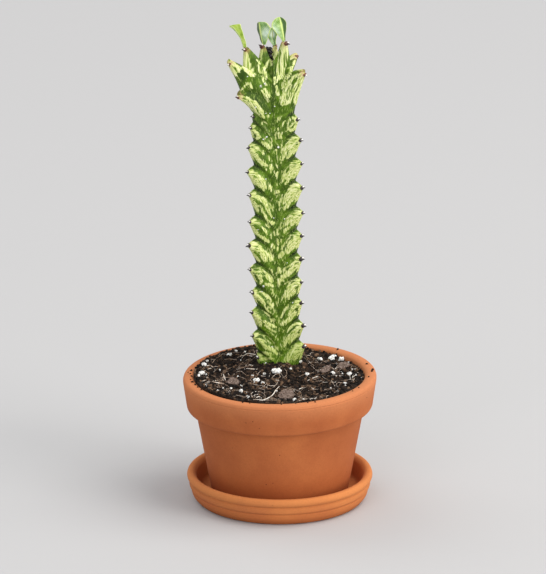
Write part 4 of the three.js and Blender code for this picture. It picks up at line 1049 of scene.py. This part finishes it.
# Each leaf is a grid, folded along its midrib, waved a little at its margins and given its thickness
def makeLeaf(leaf):
    rib = ribs[leaf["rib"]]
    base = crestPoint(rib, rib["horns"][leaf["horn"]][0]) + Vector(leaf["offset"])
    end = base + Vector(leaf["end"])
    middle = base.lerp(end, 0.5) + Vector(leaf["bow"])
    facingAngle = math.radians(leaf["facing"])
    fold = math.radians(leaf["opening"])
    bpy.ops.object.select_all(action="DESELECT")
    bpy.ops.mesh.primitive_grid_add(
        x_subdivisions=leafShape["columns"], y_subdivisions=leafShape["rows"], size=2)
    piece = bpy.context.object
    piece.name = piece.data.name = leaf["name"] + "_blade"
    across, upwards = [], []
    for vertex in piece.data.vertices:
        side, share = vertex.co.x, (vertex.co.y + 1) / 2
        spot = base * (1 - share) ** 2 + middle * 2 * share * (1 - share) + end * share ** 2
        tangent = ((middle - base) * (1 - share) + (end - middle) * share).normalized()
        opening = Vector((math.cos(facingAngle), math.sin(facingAngle), 0))
        opening = (opening - tangent * opening.dot(tangent)).normalized()
        sideways = tangent.cross(opening)
        reach = abs(side) * leafHalfWidth(leaf, share) * leaf["halves"][0 if side < 0 else 1]
        spot = spot - tangent * math.copysign(reach / leaf["halfWidth"], side) * leaf["skew"] * share * share
        ripple = math.sin(share * leafShape["waves"] * math.pi + side * leafShape["waveLag"])
        wave = leafShape["wave"] * side * side * ripple
        vertex.co = (spot + sideways * math.copysign(reach, side) * math.sin(fold)
                     + opening * (reach * math.cos(fold) + wave)) * mm
        across.append(side)
        upwards.append(share)
    darkness = [max(side * leaf["dark"] * leafShape["darkness"], 0) for side in across]
    # where the leaf would catch the light it gets a painted highlight, nearly white, over its pale glaucous
    # wax
    middleSide, middleShare, strength = leaf["sheen"]
    bloom = [strength * math.exp(-((side - middleSide) / leafShape["sheenSide"]) ** 2
                                 - ((share - middleShare) / leafShape["sheenShare"]) ** 2)
             for side, share in zip(across, upwards)]
    for name, values in (("across", across), ("upwards", upwards), ("lime", [leaf["lime"]] * len(across)),
                         ("darkness", darkness), ("bloom", bloom)):
        addAttribute(piece.data, name, values)
    solidify = piece.modifiers.new("thickness", "SOLIDIFY")
    solidify.thickness = leafShape["thickness"] * mm
    solidify.offset = 0
    bpy.ops.object.modifier_apply(modifier="thickness")
    smooth = piece.modifiers.new("smooth", "SUBSURF")
    smooth.levels = smooth.render_levels = 1
    bpy.ops.object.modifier_apply(modifier="smooth")
    return piece


# A waxy leaf, grown: blue-green and glaucous, with a painted highlight where it would catch the light, its
# midrib and margins yellow-green
def makeLeafSkin():
    material, shader, add = newMaterial("waxyLeafSkin")
    across, upwards, lime, bloomAndHighlightShare, darkness = [
        add("Attribute", {"attribute_name": name}).outputs["Fac"]
        for name in ("across", "upwards", "lime", "bloom", "darkness")]
    fromMidrib = add("Math", {"operation": "ABSOLUTE"}, links={0: across})
    # side veins run up and out from the midrib
    veinPlace = add("Math", {"operation": "MULTIPLY_ADD"}, {1: -0.35}, {
        0: fromMidrib.outputs[0], 2: upwards})
    veinPhase = add("Math", {"operation": "MULTIPLY"}, {1: 75}, {0: veinPlace.outputs[0]})
    veinWave = add("Math", {"operation": "SINE"}, links={0: veinPhase.outputs[0]})
    place = add("TexCoord").outputs["Object"]
    cloud = add("TexNoise", sockets={"Scale": 1 / 0.003, "Detail": 3}, links={"Vector": place})
    shade = add("Math", {"operation": "MULTIPLY_ADD"}, {1: 0.06}, {
        0: veinWave.outputs[0], 2: cloud.outputs["Fac"]})
    blade = add("ValToRGB", links={"Fac": shade.outputs[0]},
                ramp=[(0.3, "#4f7838"), (0.5, "#74a05a"), (0.7, "#a3c48c")])
    limeBlade = add("ValToRGB", links={"Fac": shade.outputs[0]},
                    ramp=[(0.3, "#8fb02c"), (0.5, "#b2d042"), (0.7, "#d6e682")])
    # the painted highlight: nearly white, over the pale glaucous wax
    bloom = add("ValToRGB", links={"Fac": shade.outputs[0]},
                ramp=[(0.3, "#b9d3b6"), (0.5, "#dcebda"), (0.7, "#fafdf8")])
    limed = add("Mix", {"data_type": "RGBA"}, links={
        0: lime, 6: blade.outputs["Color"], 7: limeBlade.outputs["Color"]})
    bloomedAndHighlighted = add("Mix", {"data_type": "RGBA"}, links={
        0: bloomAndHighlightShare, 6: limed.outputs[2], 7: bloom.outputs["Color"]})
    # the half of a leaf that is folded away from the light gets painted shade, a darker green
    dark = add("Math", {"operation": "MULTIPLY", "use_clamp": True}, {1: 0.8}, {0: darkness})
    green = add("Mix", {"data_type": "RGBA"}, {7: "#33541a"}, {0: dark.outputs[0], 6: bloomedAndHighlighted.outputs[2]})
    nearEdge = add("MapRange", {"interpolation_type": "SMOOTHSTEP"}, {1: 0.84, 2: 0.98},
                   {0: fromMidrib.outputs[0]})
    nearMidrib = add("MapRange", {"interpolation_type": "SMOOTHSTEP"}, {1: 0.16, 2: 0.05},
                     {0: fromMidrib.outputs[0]})
    pale = add("Math", {"operation": "MAXIMUM"}, links={0: nearEdge.outputs[0], 1: nearMidrib.outputs[0]})
    colour = add("Mix", {"data_type": "RGBA"}, {7: "#cbdc86"}, {0: pale.outputs[0], 6: green.outputs[2]})
    return coatShader(material, shader, colour.outputs[2], (shade.outputs[0], 0.25, 0.0002), {
        "Roughness": 0.3, "IOR": 1.42, "Subsurface Weight": 0.15,
        "Subsurface Radius": (0.001, 0.0012, 0.0004)})


leafSkin = makeLeafSkin()
for leaf in leaves:
    finishPiece(makeLeaf(leaf), "leaf", leafSkin, leaf["name"], smoothAngle=60)
print("leaves made")


# Soil

# buried: the (radius, height) of its section from the pot's floor up to its edge
soil = dict(rings=80, sides=240, edge=71, fall=0.028, mound=7.6, moundSpread=19, radius=48.9,
            buried=[(0, 12.3), (33.2, 12.3), (42.2, 52), (47.4, 62.3), (48.9, 68)],
            heap=2.7, heapFrom=36, heapTo=47.5, lowTowards=35, lowShare=0.75, lowPower=3,
            relief=1.1, lumpSize=5, gritSize=1.2, gritShare=0.35)


def soilHeight(x, y):
    away = math.hypot(x - stem["foot"][0], y - stem["foot"][1]) / soil["moundSpread"]
    height = soil["edge"] - soil["fall"] * x + soil["mound"] * math.exp(-away * away)
    # it is heaped against the rim all round, and least towards the back on the right
    towardsLow = max(math.cos(math.atan2(y, x) - math.radians(soil["lowTowards"])), 0)
    low = towardsLow ** soil["lowPower"] * soil["lowShare"]
    heap = soil["heap"] * (1 - low) * float(smoothStep(math.hypot(x, y), soil["heapFrom"], soil["heapTo"]))
    return height + heap + rimLift(x, height)


def roughSoilHeight(x, y):
    lumps = noise.fractal((x / soil["lumpSize"], y / soil["lumpSize"], 3), 1, 2, 4)
    grit = noise.noise((x / soil["gritSize"], y / soil["gritSize"], 7))
    return soilHeight(x, y) + soil["relief"] * (lumps + soil["gritShare"] * grit)


def makeSoil():
    top = [(soil["radius"] * (1 - ring / soil["rings"]), soil["edge"]) for ring in range(soil["rings"] + 1)]
    section = [Vector(corner) for corner in soil["buried"] + top]
    piece = turnOnWheel("potting_mix", section, soil["sides"])
    for vertex in piece.data.vertices:
        x, y, z = vertex.co / mm
        if z > soil["edge"] - 1:
            vertex.co.z = roughSoilHeight(x, y) * mm
    return piece


# Bark, peat and perlite, loose: nearly black, matt
def makeEarth():
    material, shader, add = newMaterial("looseBarkAndPeat")
    place = add("TexCoord").outputs["Object"]
    # lumps of 2.5 mm, broken up finely
    lumps = add("TexNoise", sockets={"Scale": 1 / 0.0025, "Detail": 5, "Roughness": 0.7},
                links={"Vector": place})
    colour = add("ValToRGB", links={"Fac": lumps.outputs["Fac"]},
                 ramp=[(0.35, "#0e0b09"), (0.52, "#2a2019"), (0.68, "#54402f")])
    return coatShader(material, shader, colour.outputs["Color"], (lumps.outputs["Fac"], 0.8, 0.0008),
                      {"Roughness": 0.95, "Specular IOR Level": 0.2})


soilPiece = finishPiece(makeSoil(), "soil", makeEarth(), "soil", smoothAngle=60)
print("soil made:", len(soilPiece.data.polygons), "faces")


# Crumbs, chips, perlite and roots on the soil

litter = dict(spread=48.6, stemGap=9, sizePower=1.5, tintPower=2.6)


# A place on the disc of soil, clear of the stem
def soilPlace(rng, margin=0.0):
    while True:
        radius = (litter["spread"] - margin) * math.sqrt(rng.random())
        angle = rng.uniform(0, 2 * math.pi)
        x, y = radius * math.cos(angle), radius * math.sin(angle)
        if math.hypot(x - stem["foot"][0], y - stem["foot"][1]) > litter["stemGap"]:
            return x, y


def anyTurn(rng):
    turns = [turned(rng.uniform(0, 2 * math.pi), axis) for axis in "ZXY"]
    return turns[0] @ turns[1] @ turns[2]


# A tint from 0 to 1 for each copy, which its material turns into a shade
def tinted(tints):
    def reshape(mesh, number):
        addAttribute(mesh, "tint", [tints[number]] * len(mesh.vertices))
    return reshape


# A lump of unit width, pushed in and out so that no two sides are alike
def roughen(model, roughness, seed, waves=3.1):
    for vertex in model.data.vertices:
        push = noise.noise(vertex.co * waves + Vector((seed, 0, 0)))
        vertex.co *= 1 + roughness * push
    return model


# A unit block with its edges cut: few faces, for what is repeated hundreds of times
def cutBlock(name, cut):
    bpy.ops.mesh.primitive_cube_add(size=1, location=(0, 0, 0))
    model = bpy.context.object
    model.name = name
    bpy.ops.object.mode_set(mode="EDIT")
    bpy.ops.mesh.bevel(offset=cut, segments=1)
    bpy.ops.object.mode_set(mode="OBJECT")
    return model


crumb = dict(seed=7, count=2900, size=(0.5, 1.7), length=(0.8, 1.5), depth=(0.6, 1), cut=0.26, rough=0.8,
             shape=4, rise=0.25)


def crumbModel():
    return roughen(cutBlock("crumb", crumb["cut"]), crumb["rough"], crumb["shape"])


def makeCrumbs():
    rng = random.Random(crumb["seed"])
    placements, tints = [], []
    for _ in range(crumb["count"]):
        x, y = soilPlace(rng)
        size = between(*crumb["size"], rng.random() ** litter["sizePower"])
        z = roughSoilHeight(x, y) + size * crumb["rise"] * rng.random()
        shape = stretched(size * rng.uniform(*crumb["length"]), size, size * rng.uniform(*crumb["depth"]))
        placements.append(placedAt(x, y, z) @ anyTurn(rng) @ shape)
        tints.append(rng.random() ** litter["tintPower"])
    return placeCopies(crumbModel(), placements, "peat_crumbs", tinted(tints))


chip = dict(seed=8, count=300, margin=1.5, size=(1.2, 3.4), width=(0.3, 0.7), depth=(0.15, 0.35), cut=0.22,
            tilt=0.5, rise=0.15, tint=0.05, tintRange=0.6)


# Bark chips: a block with its edges cut, thinner than it is wide
def makeChips():
    rng = random.Random(chip["seed"])
    placements, tints = [], []
    for _ in range(chip["count"]):
        x, y = soilPlace(rng, chip["margin"])
        size = between(*chip["size"], rng.random() ** litter["sizePower"])
        tilt = turned(rng.gauss(0, chip["tilt"]), "X") @ turned(rng.gauss(0, chip["tilt"]), "Y")
        shape = stretched(size, size * rng.uniform(*chip["width"]), size * rng.uniform(*chip["depth"]))
        turn = turned(rng.uniform(0, 2 * math.pi), "Z")
        z = roughSoilHeight(x, y) + chip["rise"] * size
        placements.append(placedAt(x, y, z) @ turn @ tilt @ shape)
        tints.append(chip["tint"] + chip["tintRange"] * rng.random() ** litter["tintPower"])
    return placeCopies(cutBlock("chip", chip["cut"]), placements, "bark_chips", tinted(tints))


# (x, y, width) of the perlite grains that stand out
perliteGrains = [
    (-28.6, 31.9, 2.6), (-24.9, 38.3, 1.5), (-43.2, 13.1, 3.3), (-41.4, 18.6, 1.9), (-44.3, 0.3, 3.3),
    (-46, -6.4, 1.9), (-23.8, 0.4, 1.3), (-8.8, 0.4, 1.9), (-1.7, 1.5, 5.2), (6.1, 4.6, 1.5),
    (-13.2, -6.1, 3.3), (-9.7, -11.2, 2.1), (-22.1, -15.4, 1.6), (-27.7, -18.7, 1.3), (-41.9, -17.9, 0.9),
    (-34.9, -28.1, 1.6), (-21.7, -23.6, 2.2), (-18.2, -31.3, 1.6), (-17.7, -41, 1.9), (-2.1, -40.2, 0.7),
    (3.1, -35.6, 1.3), (8.3, -42.2, 2.2), (13.5, -39.1, 1.9), (11.5, 14.1, 2.4), (22.9, 25.7, 2.5),
    (29.4, 30.4, 3.3), (30.5, 33, 3), (35, 30, 3), (39, 24, 1.9), (38.5, 23.4, 1), (30, 7.3, 2.8),
    (26.8, 10.2, 0.7), (15.5, 1.2, 2.2), (39.4, 5.1, 2.5), (41.6, 4.1, 1), (43.5, 5.3, 1),
    (36.8, -10.4, 1.9), (30.7, -11.3, 0.9), (18.7, -19.8, 0.7), (12.7, 22.9, 0.7),
]
# lobeCounts: how many lobes a grain below each width has
perlite = dict(
    seed=9, small=34, smallSize=(0.5, 1.5), margin=2, scale=1.22, cut=0.3, rough=0.5, shape=9,
    lobeCounts=[(1.2, 1), (2.6, 6), (5, 13), (99, 34)], lobeSize=(0.4, 0.56), largestLobe=3, gather=0.3,
    length=(0.85, 1.2), depth=(0.7, 1), rise=0.3, scatter=(-0.1, 0.25),
)


# Perlite: each grain is a cluster of blown, pitted lobes
def makePerlite():
    rng = random.Random(perlite["seed"])
    grains = list(perliteGrains)
    grains += [(*soilPlace(rng, perlite["margin"]), rng.uniform(*perlite["smallSize"]))
               for _ in range(perlite["small"])]
    placements = []
    for x, y, width in grains:
        width *= perlite["scale"]
        largest = min(width, perlite["largestLobe"])
        rise = roughSoilHeight(x, y) + perlite["rise"] * largest
        lobes = next(count for below, count in perlite["lobeCounts"] if width < below)
        for _ in range(lobes):
            size = width if lobes == 1 else rng.uniform(*perlite["lobeSize"]) * largest
            reach = 0 if lobes == 1 else (width - size) / 2 * rng.random() ** perlite["gather"]
            angle = rng.uniform(0, 2 * math.pi)
            length = size * rng.uniform(*perlite["length"])
            shape = stretched(length, size, size * rng.uniform(*perlite["depth"]))
            z = rise + rng.uniform(*perlite["scatter"]) * size
            middle = (x + reach * math.cos(angle), y + reach * math.sin(angle), z)
            placements.append(placedAt(*middle) @ anyTurn(rng) @ shape)
    lobe = roughen(cutBlock("lobe", perlite["cut"]), perlite["rough"], perlite["shape"])
    return placeCopies(lobe, placements, "perlite_grains")


# (x, height, width) of perlite dust that clings to the stem, as seen from the front
perliteDust = [
    (-7.3, 216.8, 1.1), (-9.2, 214.4, 1), (-0.4, 210.1, 1.5), (-7.5, 191.6, 0.8), (2.6, 167.3, 0.8),
    (-3.1, 167.7, 0.7), (-16.8, 181.4, 1.1), (-7.5, 230.8, 0.7), (-9.5, 126.5, 1.3), (-10.7, 123.6, 0.8),
    (-4.4, 90.8, 0.9), (7.4, 117.1, 0.8), (-10.7, 247.3, 1.5), (-8.2, 248.5, 1), (-7.6, 248.1, 0.7),
    (-18.7, 252, 0.8), (-3.3, 234.6, 0.8), (-13.6, 234.2, 0.9), (-5.4, 230, 0.6), (3.9, 141.2, 0.6),
    (-12.4, 160.5, 0.6), (9.8, 180.2, 0.6),
]
dust = dict(seed=12, near=0.6, depth=0.8, rough=0.5, shape=3)


# Each grain is set on the skin that faces the front at its place
def makeDust():
    rng = random.Random(dust["seed"])
    skin = [vertex.co / mm for vertex in stemPiece.data.vertices]
    placements = []
    for x, up, width in perliteDust:
        near = [spot for spot in skin
                if math.hypot(spot.x - x, spot.z + frontRise * spot.y - up) < dust["near"]]
        if near:
            spot = min(near, key=lambda place: place.y)
            shape = stretched(width, width * dust["depth"], width)
            placements.append(placedAt(*spot) @ anyTurn(rng) @ shape)
    bpy.ops.mesh.primitive_ico_sphere_add(subdivisions=2, radius=0.5, location=(0, 0, 0))
    grain = roughen(bpy.context.object, dust["rough"], dust["shape"])
    return placeCopies(grain, placements, "perlite_dust")


# (x, y, width) of the crumbs of soil left on the pot's lip
lipCrumbs = [
    (-50.3, 8, 1.1), (-50.8, 3, 0.8), (-50.1, -1, 0.9), (-50.6, -7, 0.7), (-49.6, -11, 1.2),
    (-47.9, -16, 1), (-46.6, -20, 0.8), (-52, 5.4, 0.6), (-44.6, -24.6, 0.9), (52.6, 3.2, 1.3),
    (52.2, 1.2, 1), (52.9, 5, 0.8), (44.8, -25.8, 0.8), (41.2, -31.4, 0.7), (-21, -47, 0.8),
    (1, -51.4, 0.8), (15.8, -49.2, 0.7), (20, -48.2, 0.9), (-17, -48.6, 0.6), (9, -50.6, 0.6),
    (50.4, -8, 0.9), (49.6, 13.6, 1.1), (33, 39.2, 1.2), (-30, 41.4, 1),
]
lipCrumb = dict(seed=13, length=1.3, depth=0.7, tintRange=0.3)


def makeLipCrumbs():
    rng = random.Random(lipCrumb["seed"])
    placements = []
    for x, y, width in lipCrumbs:
        z = pot["rimTop"] + rimLift(x, pot["rimTop"])
        shape = stretched(width * lipCrumb["length"], width, width * lipCrumb["depth"])
        placements.append(placedAt(x, y, z) @ anyTurn(rng) @ shape)
    tints = [rng.random() * lipCrumb["tintRange"] for _ in lipCrumbs]
    return placeCopies(crumbModel(), placements, "lip_crumbs", tinted(tints))


fibre = dict(seed=10, count=210, margin=2, length=(4, 15), steps=4, curl=0.32, wander=0.25,
             rise=(0.5, 1.3), endRise=0.2, endShare=0.5, radius=(0.06, 0.12), rootRadius=0.22,
             paleSeed=14, paleRadius=(0.24, 0.36))
# the runs of the longer roots
rootRuns = [
    [(-9.1, -38.2), (-11.4, -41.8), (-16, -43)], [(33.1, 23.1), (31.3, 13.9)],
    [(24.2, -36.2), (19, -38.1), (14.6, -40.9)], [(-24.7, 29.2), (-21, 33.9), (-15.1, 25.1)],
    [(-25.4, 20.9), (-21.7, 22.1), (-16.6, 12.9)], [(-20.3, 11.1), (-17.3, 7.3), (-13.6, 5.9)],
    [(-30.6, 22.9), (-30.5, 5.8), (-26.9, -2.7)], [(-41, -12.3), (-35.8, -9.3), (-31, -10.6)],
    [(-38.5, 20), (-36.2, 26), (-34.2, 29)], [(-22.9, 28.2), (-21.7, 34.9), (-18, 39.7)],
    [(29, -2.2), (29.8, -7.4), (31.3, -12.8)], [(-12.1, 42.7), (-13.2, 34), (-14, 23.7)],
]
# pale, shredded fibres and roots, where they stand out
paleRuns = [
    [(-45.4, -5.6), (-43, -3.5), (-40.5, -2.6)], [(-44.3, -13.6), (-42.7, -10), (-40.6, -7.1)],
    [(-44, 8), (-42.6, 12.9), (-40, 15.9)], [(-43.3, 4.5), (-41.6, 9), (-38.9, 12.5)],
    [(-16.6, -26.2), (-14, -22.2), (-11, -23.9)], [(-15.1, -30.5), (-12.8, -26.1), (-11.2, -30.5)],
    [(-14, -35.9), (-12.1, -31.6), (-10.3, -33.8)], [(-17.4, -28.8), (-15.2, -32.4), (-12, -34)],
    [(39, 9.7), (39.8, 4.1), (40.1, -3)], [(42, 7.6), (41.6, 2.1), (41.1, -2.3)],
    [(44.6, 8.1), (43.1, 4.7), (41.4, -1.3)], [(44.3, 1.5), (43.1, -1.1), (41.6, -5.3)],
    [(13.8, -8.9), (18.3, -2), (22, 1.6)], [(21.2, 6.7), (23.5, 11.6), (25.3, 16.1)],
    [(30.9, 12.7), (32.4, 18.4), (33.5, 22.1)],
    [(-11.4, -44), (-8.4, -39.5), (-3.6, -30.3), (-2.1, -20.5), (-0.2, -14.4)],
    [(-3.2, -7.5), (-1.4, -5), (1.6, -9.9)], [(7.5, -23.4), (10.5, -19), (13.5, -14.8)],
    [(-32.1, 6), (-31.7, 0.7), (-30.6, -5.7)], [(-21.7, 27.4), (-20.3, 32.7), (-16.2, 34), (-12.1, 24.6)],
    [(-19.5, 14.2), (-16.2, 14.7), (-12.8, 7.7)], [(-19.5, 9.9), (-16.2, 6.9), (-12.8, 6.3)],
    [(-41.4, -16.4), (-38.4, -6.9), (-34.3, -2.8)], [(14.9, -42.3), (19.8, -40.4), (24.2, -38.8)],
]


# Roots and bark fibres: fine tubes laid over the crumbs along runs of (x, y), each with its radius
def layFibres(name, runs, rng):
    curve = bpy.data.curves.new(name, "CURVE")
    curve.dimensions = "3D"
    curve.resolution_u = 5
    curve.bevel_depth = mm
    curve.bevel_resolution = 0
    curve.use_fill_caps = True
    for run, radius in runs:
        spline = curve.splines.new("NURBS")
        spline.points.add(len(run) - 1)
        spline.use_endpoint_u = True
        spline.order_u = 3
        for number, ((x, y), point) in enumerate(zip(run, spline.points)):
            ends = number in (0, len(run) - 1)
            z = between(roughSoilHeight(x, y), soilHeight(x, y), 0.5)
            z += fibre["endRise"] if ends else rng.uniform(*fibre["rise"])
            point.co = (x * mm, y * mm, z * mm, 1)
            point.radius = radius * (fibre["endShare"] if ends else 1)
    piece = bpy.data.objects.new(name, curve)
    bpy.context.collection.objects.link(piece)
    selectOnly(piece)
    bpy.ops.object.convert(target="MESH")
    piece = bpy.context.object
    piece.data.name = name
    return piece


def makeFibres():
    rng = random.Random(fibre["seed"])
    runs = [(run, fibre["rootRadius"]) for run in rootRuns]
    for _ in range(fibre["count"]):
        x, y = soilPlace(rng, fibre["margin"])
        heading = rng.uniform(0, 2 * math.pi)
        curl = rng.gauss(0, fibre["curl"])
        run = [(x, y)]
        step = rng.uniform(*fibre["length"]) / fibre["steps"]
        for _ in range(fibre["steps"]):
            x, y = x + step * math.cos(heading), y + step * math.sin(heading)
            heading += curl + rng.gauss(0, fibre["wander"])
            run.append((x, y))
        if all(math.hypot(*point) < litter["spread"] for point in run):
            runs.append((run, rng.uniform(*fibre["radius"])))
    return layFibres("root_fibres", runs, rng)


def makePaleFibres():
    rng = random.Random(fibre["paleSeed"])
    return layFibres("pale_fibres", [(run, rng.uniform(*fibre["paleRadius"])) for run in paleRuns], rng)


# the outlines of the flakes of bark that lie on the soil
barkFlakes = [
    [(-31.2, -8.6), (-27.6, -1.6), (-24.4, -4), (-21.6, -10.4), (-24, -14.8), (-28.4, -13.4)],
    [(21.4, 8.3), (24.8, 13.4), (29.6, 19), (28.7, 9.5), (25.7, 5), (23.1, 4.9)],
    [(-1.6, -33.6), (-0.8, -26.4), (2.7, -21.3), (7.5, -22.6), (9.6, -30.4), (6.3, -38.6), (1.8, -39.8)],
    [(32, 16.3), (34.6, 23.5), (39, 24), (41, 19.6), (37, 14.2), (33.5, 12.7)],
]
flake = dict(seed=3, cuts=5, fractal=0.9, rise=0.9, size=0.86, thickness=0.5, curl=0.012, dent=0.5,
             dentSize=2)


# Flakes of bark: each outline is filled, finely cut, bent a little and given its thickness
def makeFlakes():
    pieces = []
    for number, outline in enumerate(barkFlakes):
        bpy.ops.object.select_all(action="DESELECT")
        bpy.ops.mesh.primitive_circle_add(
            vertices=len(outline), radius=1, fill_type="TRIFAN", location=(0, 0, 0))
        piece = bpy.context.object
        middle = [sum(point[axis] for point in outline) / len(outline) for axis in (0, 1)]
        for vertex, edge in zip(piece.data.vertices, [*outline, middle]):
            vertex.co = (*[between(middle[axis], edge[axis], flake["size"]) for axis in (0, 1)], 0)
        bpy.ops.object.mode_set(mode="EDIT")
        bpy.ops.mesh.select_all(action="SELECT")
        bpy.ops.mesh.subdivide(
            number_cuts=flake["cuts"], fractal=flake["fractal"], seed=number + flake["seed"])
        bpy.ops.object.mode_set(mode="OBJECT")
        for vertex in piece.data.vertices:
            x, y, _ = vertex.co
            away = math.hypot(x - middle[0], y - middle[1])
            dent = flake["dent"] * noise.noise((x / flake["dentSize"], y / flake["dentSize"], number))
            bend = flake["curl"] * away * away + dent
            vertex.co = (x * mm, y * mm, (soilHeight(x, y) + flake["rise"] + bend) * mm)
        solidify = piece.modifiers.new("thickness", "SOLIDIFY")
        solidify.thickness = flake["thickness"] * mm
        bpy.ops.object.modifier_apply(modifier="thickness")
        pieces.append(piece)
    return joinPieces(pieces, "bark_flakes")


# A matt material whose shade comes from the piece's own tint, with a grain of the given size in mm
def makeLitter(name, ramp, grain, strength):
    material, shader, add = newMaterial(name)
    place = add("TexCoord").outputs["Object"]
    tint = add("Attribute", {"attribute_name": "tint"})
    texture = add("TexNoise", sockets={"Scale": 1000 / grain, "Detail": 4, "Roughness": 0.65},
                  links={"Vector": place})
    shade = add("Math", {"operation": "MULTIPLY_ADD"}, {1: 0.5}, {
        0: texture.outputs["Fac"], 2: tint.outputs["Fac"]})
    colour = add("ValToRGB", links={"Fac": shade.outputs[0]}, ramp=ramp)
    return coatShader(material, shader, colour.outputs["Color"], (texture.outputs["Fac"], strength, 0.0003),
                      {"Roughness": 0.92, "Specular IOR Level": 0.25})


# Composted bark and peat: black-brown with a few paler faces
barkMaterial = makeLitter(
    "compostedBark", [(0.2, "#0d0a08"), (0.5, "#1e1611"), (0.8, "#3f2f24"), (1, "#6f5743")], 1.2, 0.7)
# Blown volcanic glass: white and matt, grey in its pits
perliteMaterial = makeLitter(
    "blownPerlite", [(0.19, "#8d8a84"), (0.225, "#dddbd6"), (0.27, "#fdfdfb")], 0.9, 0.8)
# Dried root and bark fibre: straw to grey-brown
fibreMaterial = makeLitter(
    "driedRootFibre", [(0.17, "#5f4634"), (0.24, "#b89c85"), (0.32, "#f3e9de")], 5, 0.2)
# Root fibre bleached by watering: nearly white
bleachedMaterial = makeLitter(
    "bleachedRootFibre", [(0.15, "#b79f8a"), (0.24, "#efe6da"), (0.4, "#fdfbf7")], 3, 0.2)
# Weathered bark: grey-brown and finely cracked
flakeMaterial = makeLitter(
    "weatheredBark", [(0.17, "#35291f"), (0.25, "#6d5b51"), (0.34, "#a3928a")], 0.9, 1)

for piece, material, node, smoothAngle in (
        (makeCrumbs(), barkMaterial, "soil", 40), (makeChips(), barkMaterial, "soil", None),
        (makePerlite(), perliteMaterial, "soil", 38), (makeDust(), perliteMaterial, "stem", 50),
        (makeLipCrumbs(), barkMaterial, "soil", 40), (makeFibres(), fibreMaterial, "soil", 60),
        (makePaleFibres(), bleachedMaterial, "soil", 60), (makeFlakes(), flakeMaterial, "soil", 40)):
    finishPiece(piece, "soil", material, node, smoothAngle=smoothAngle)
print("soil dressed")
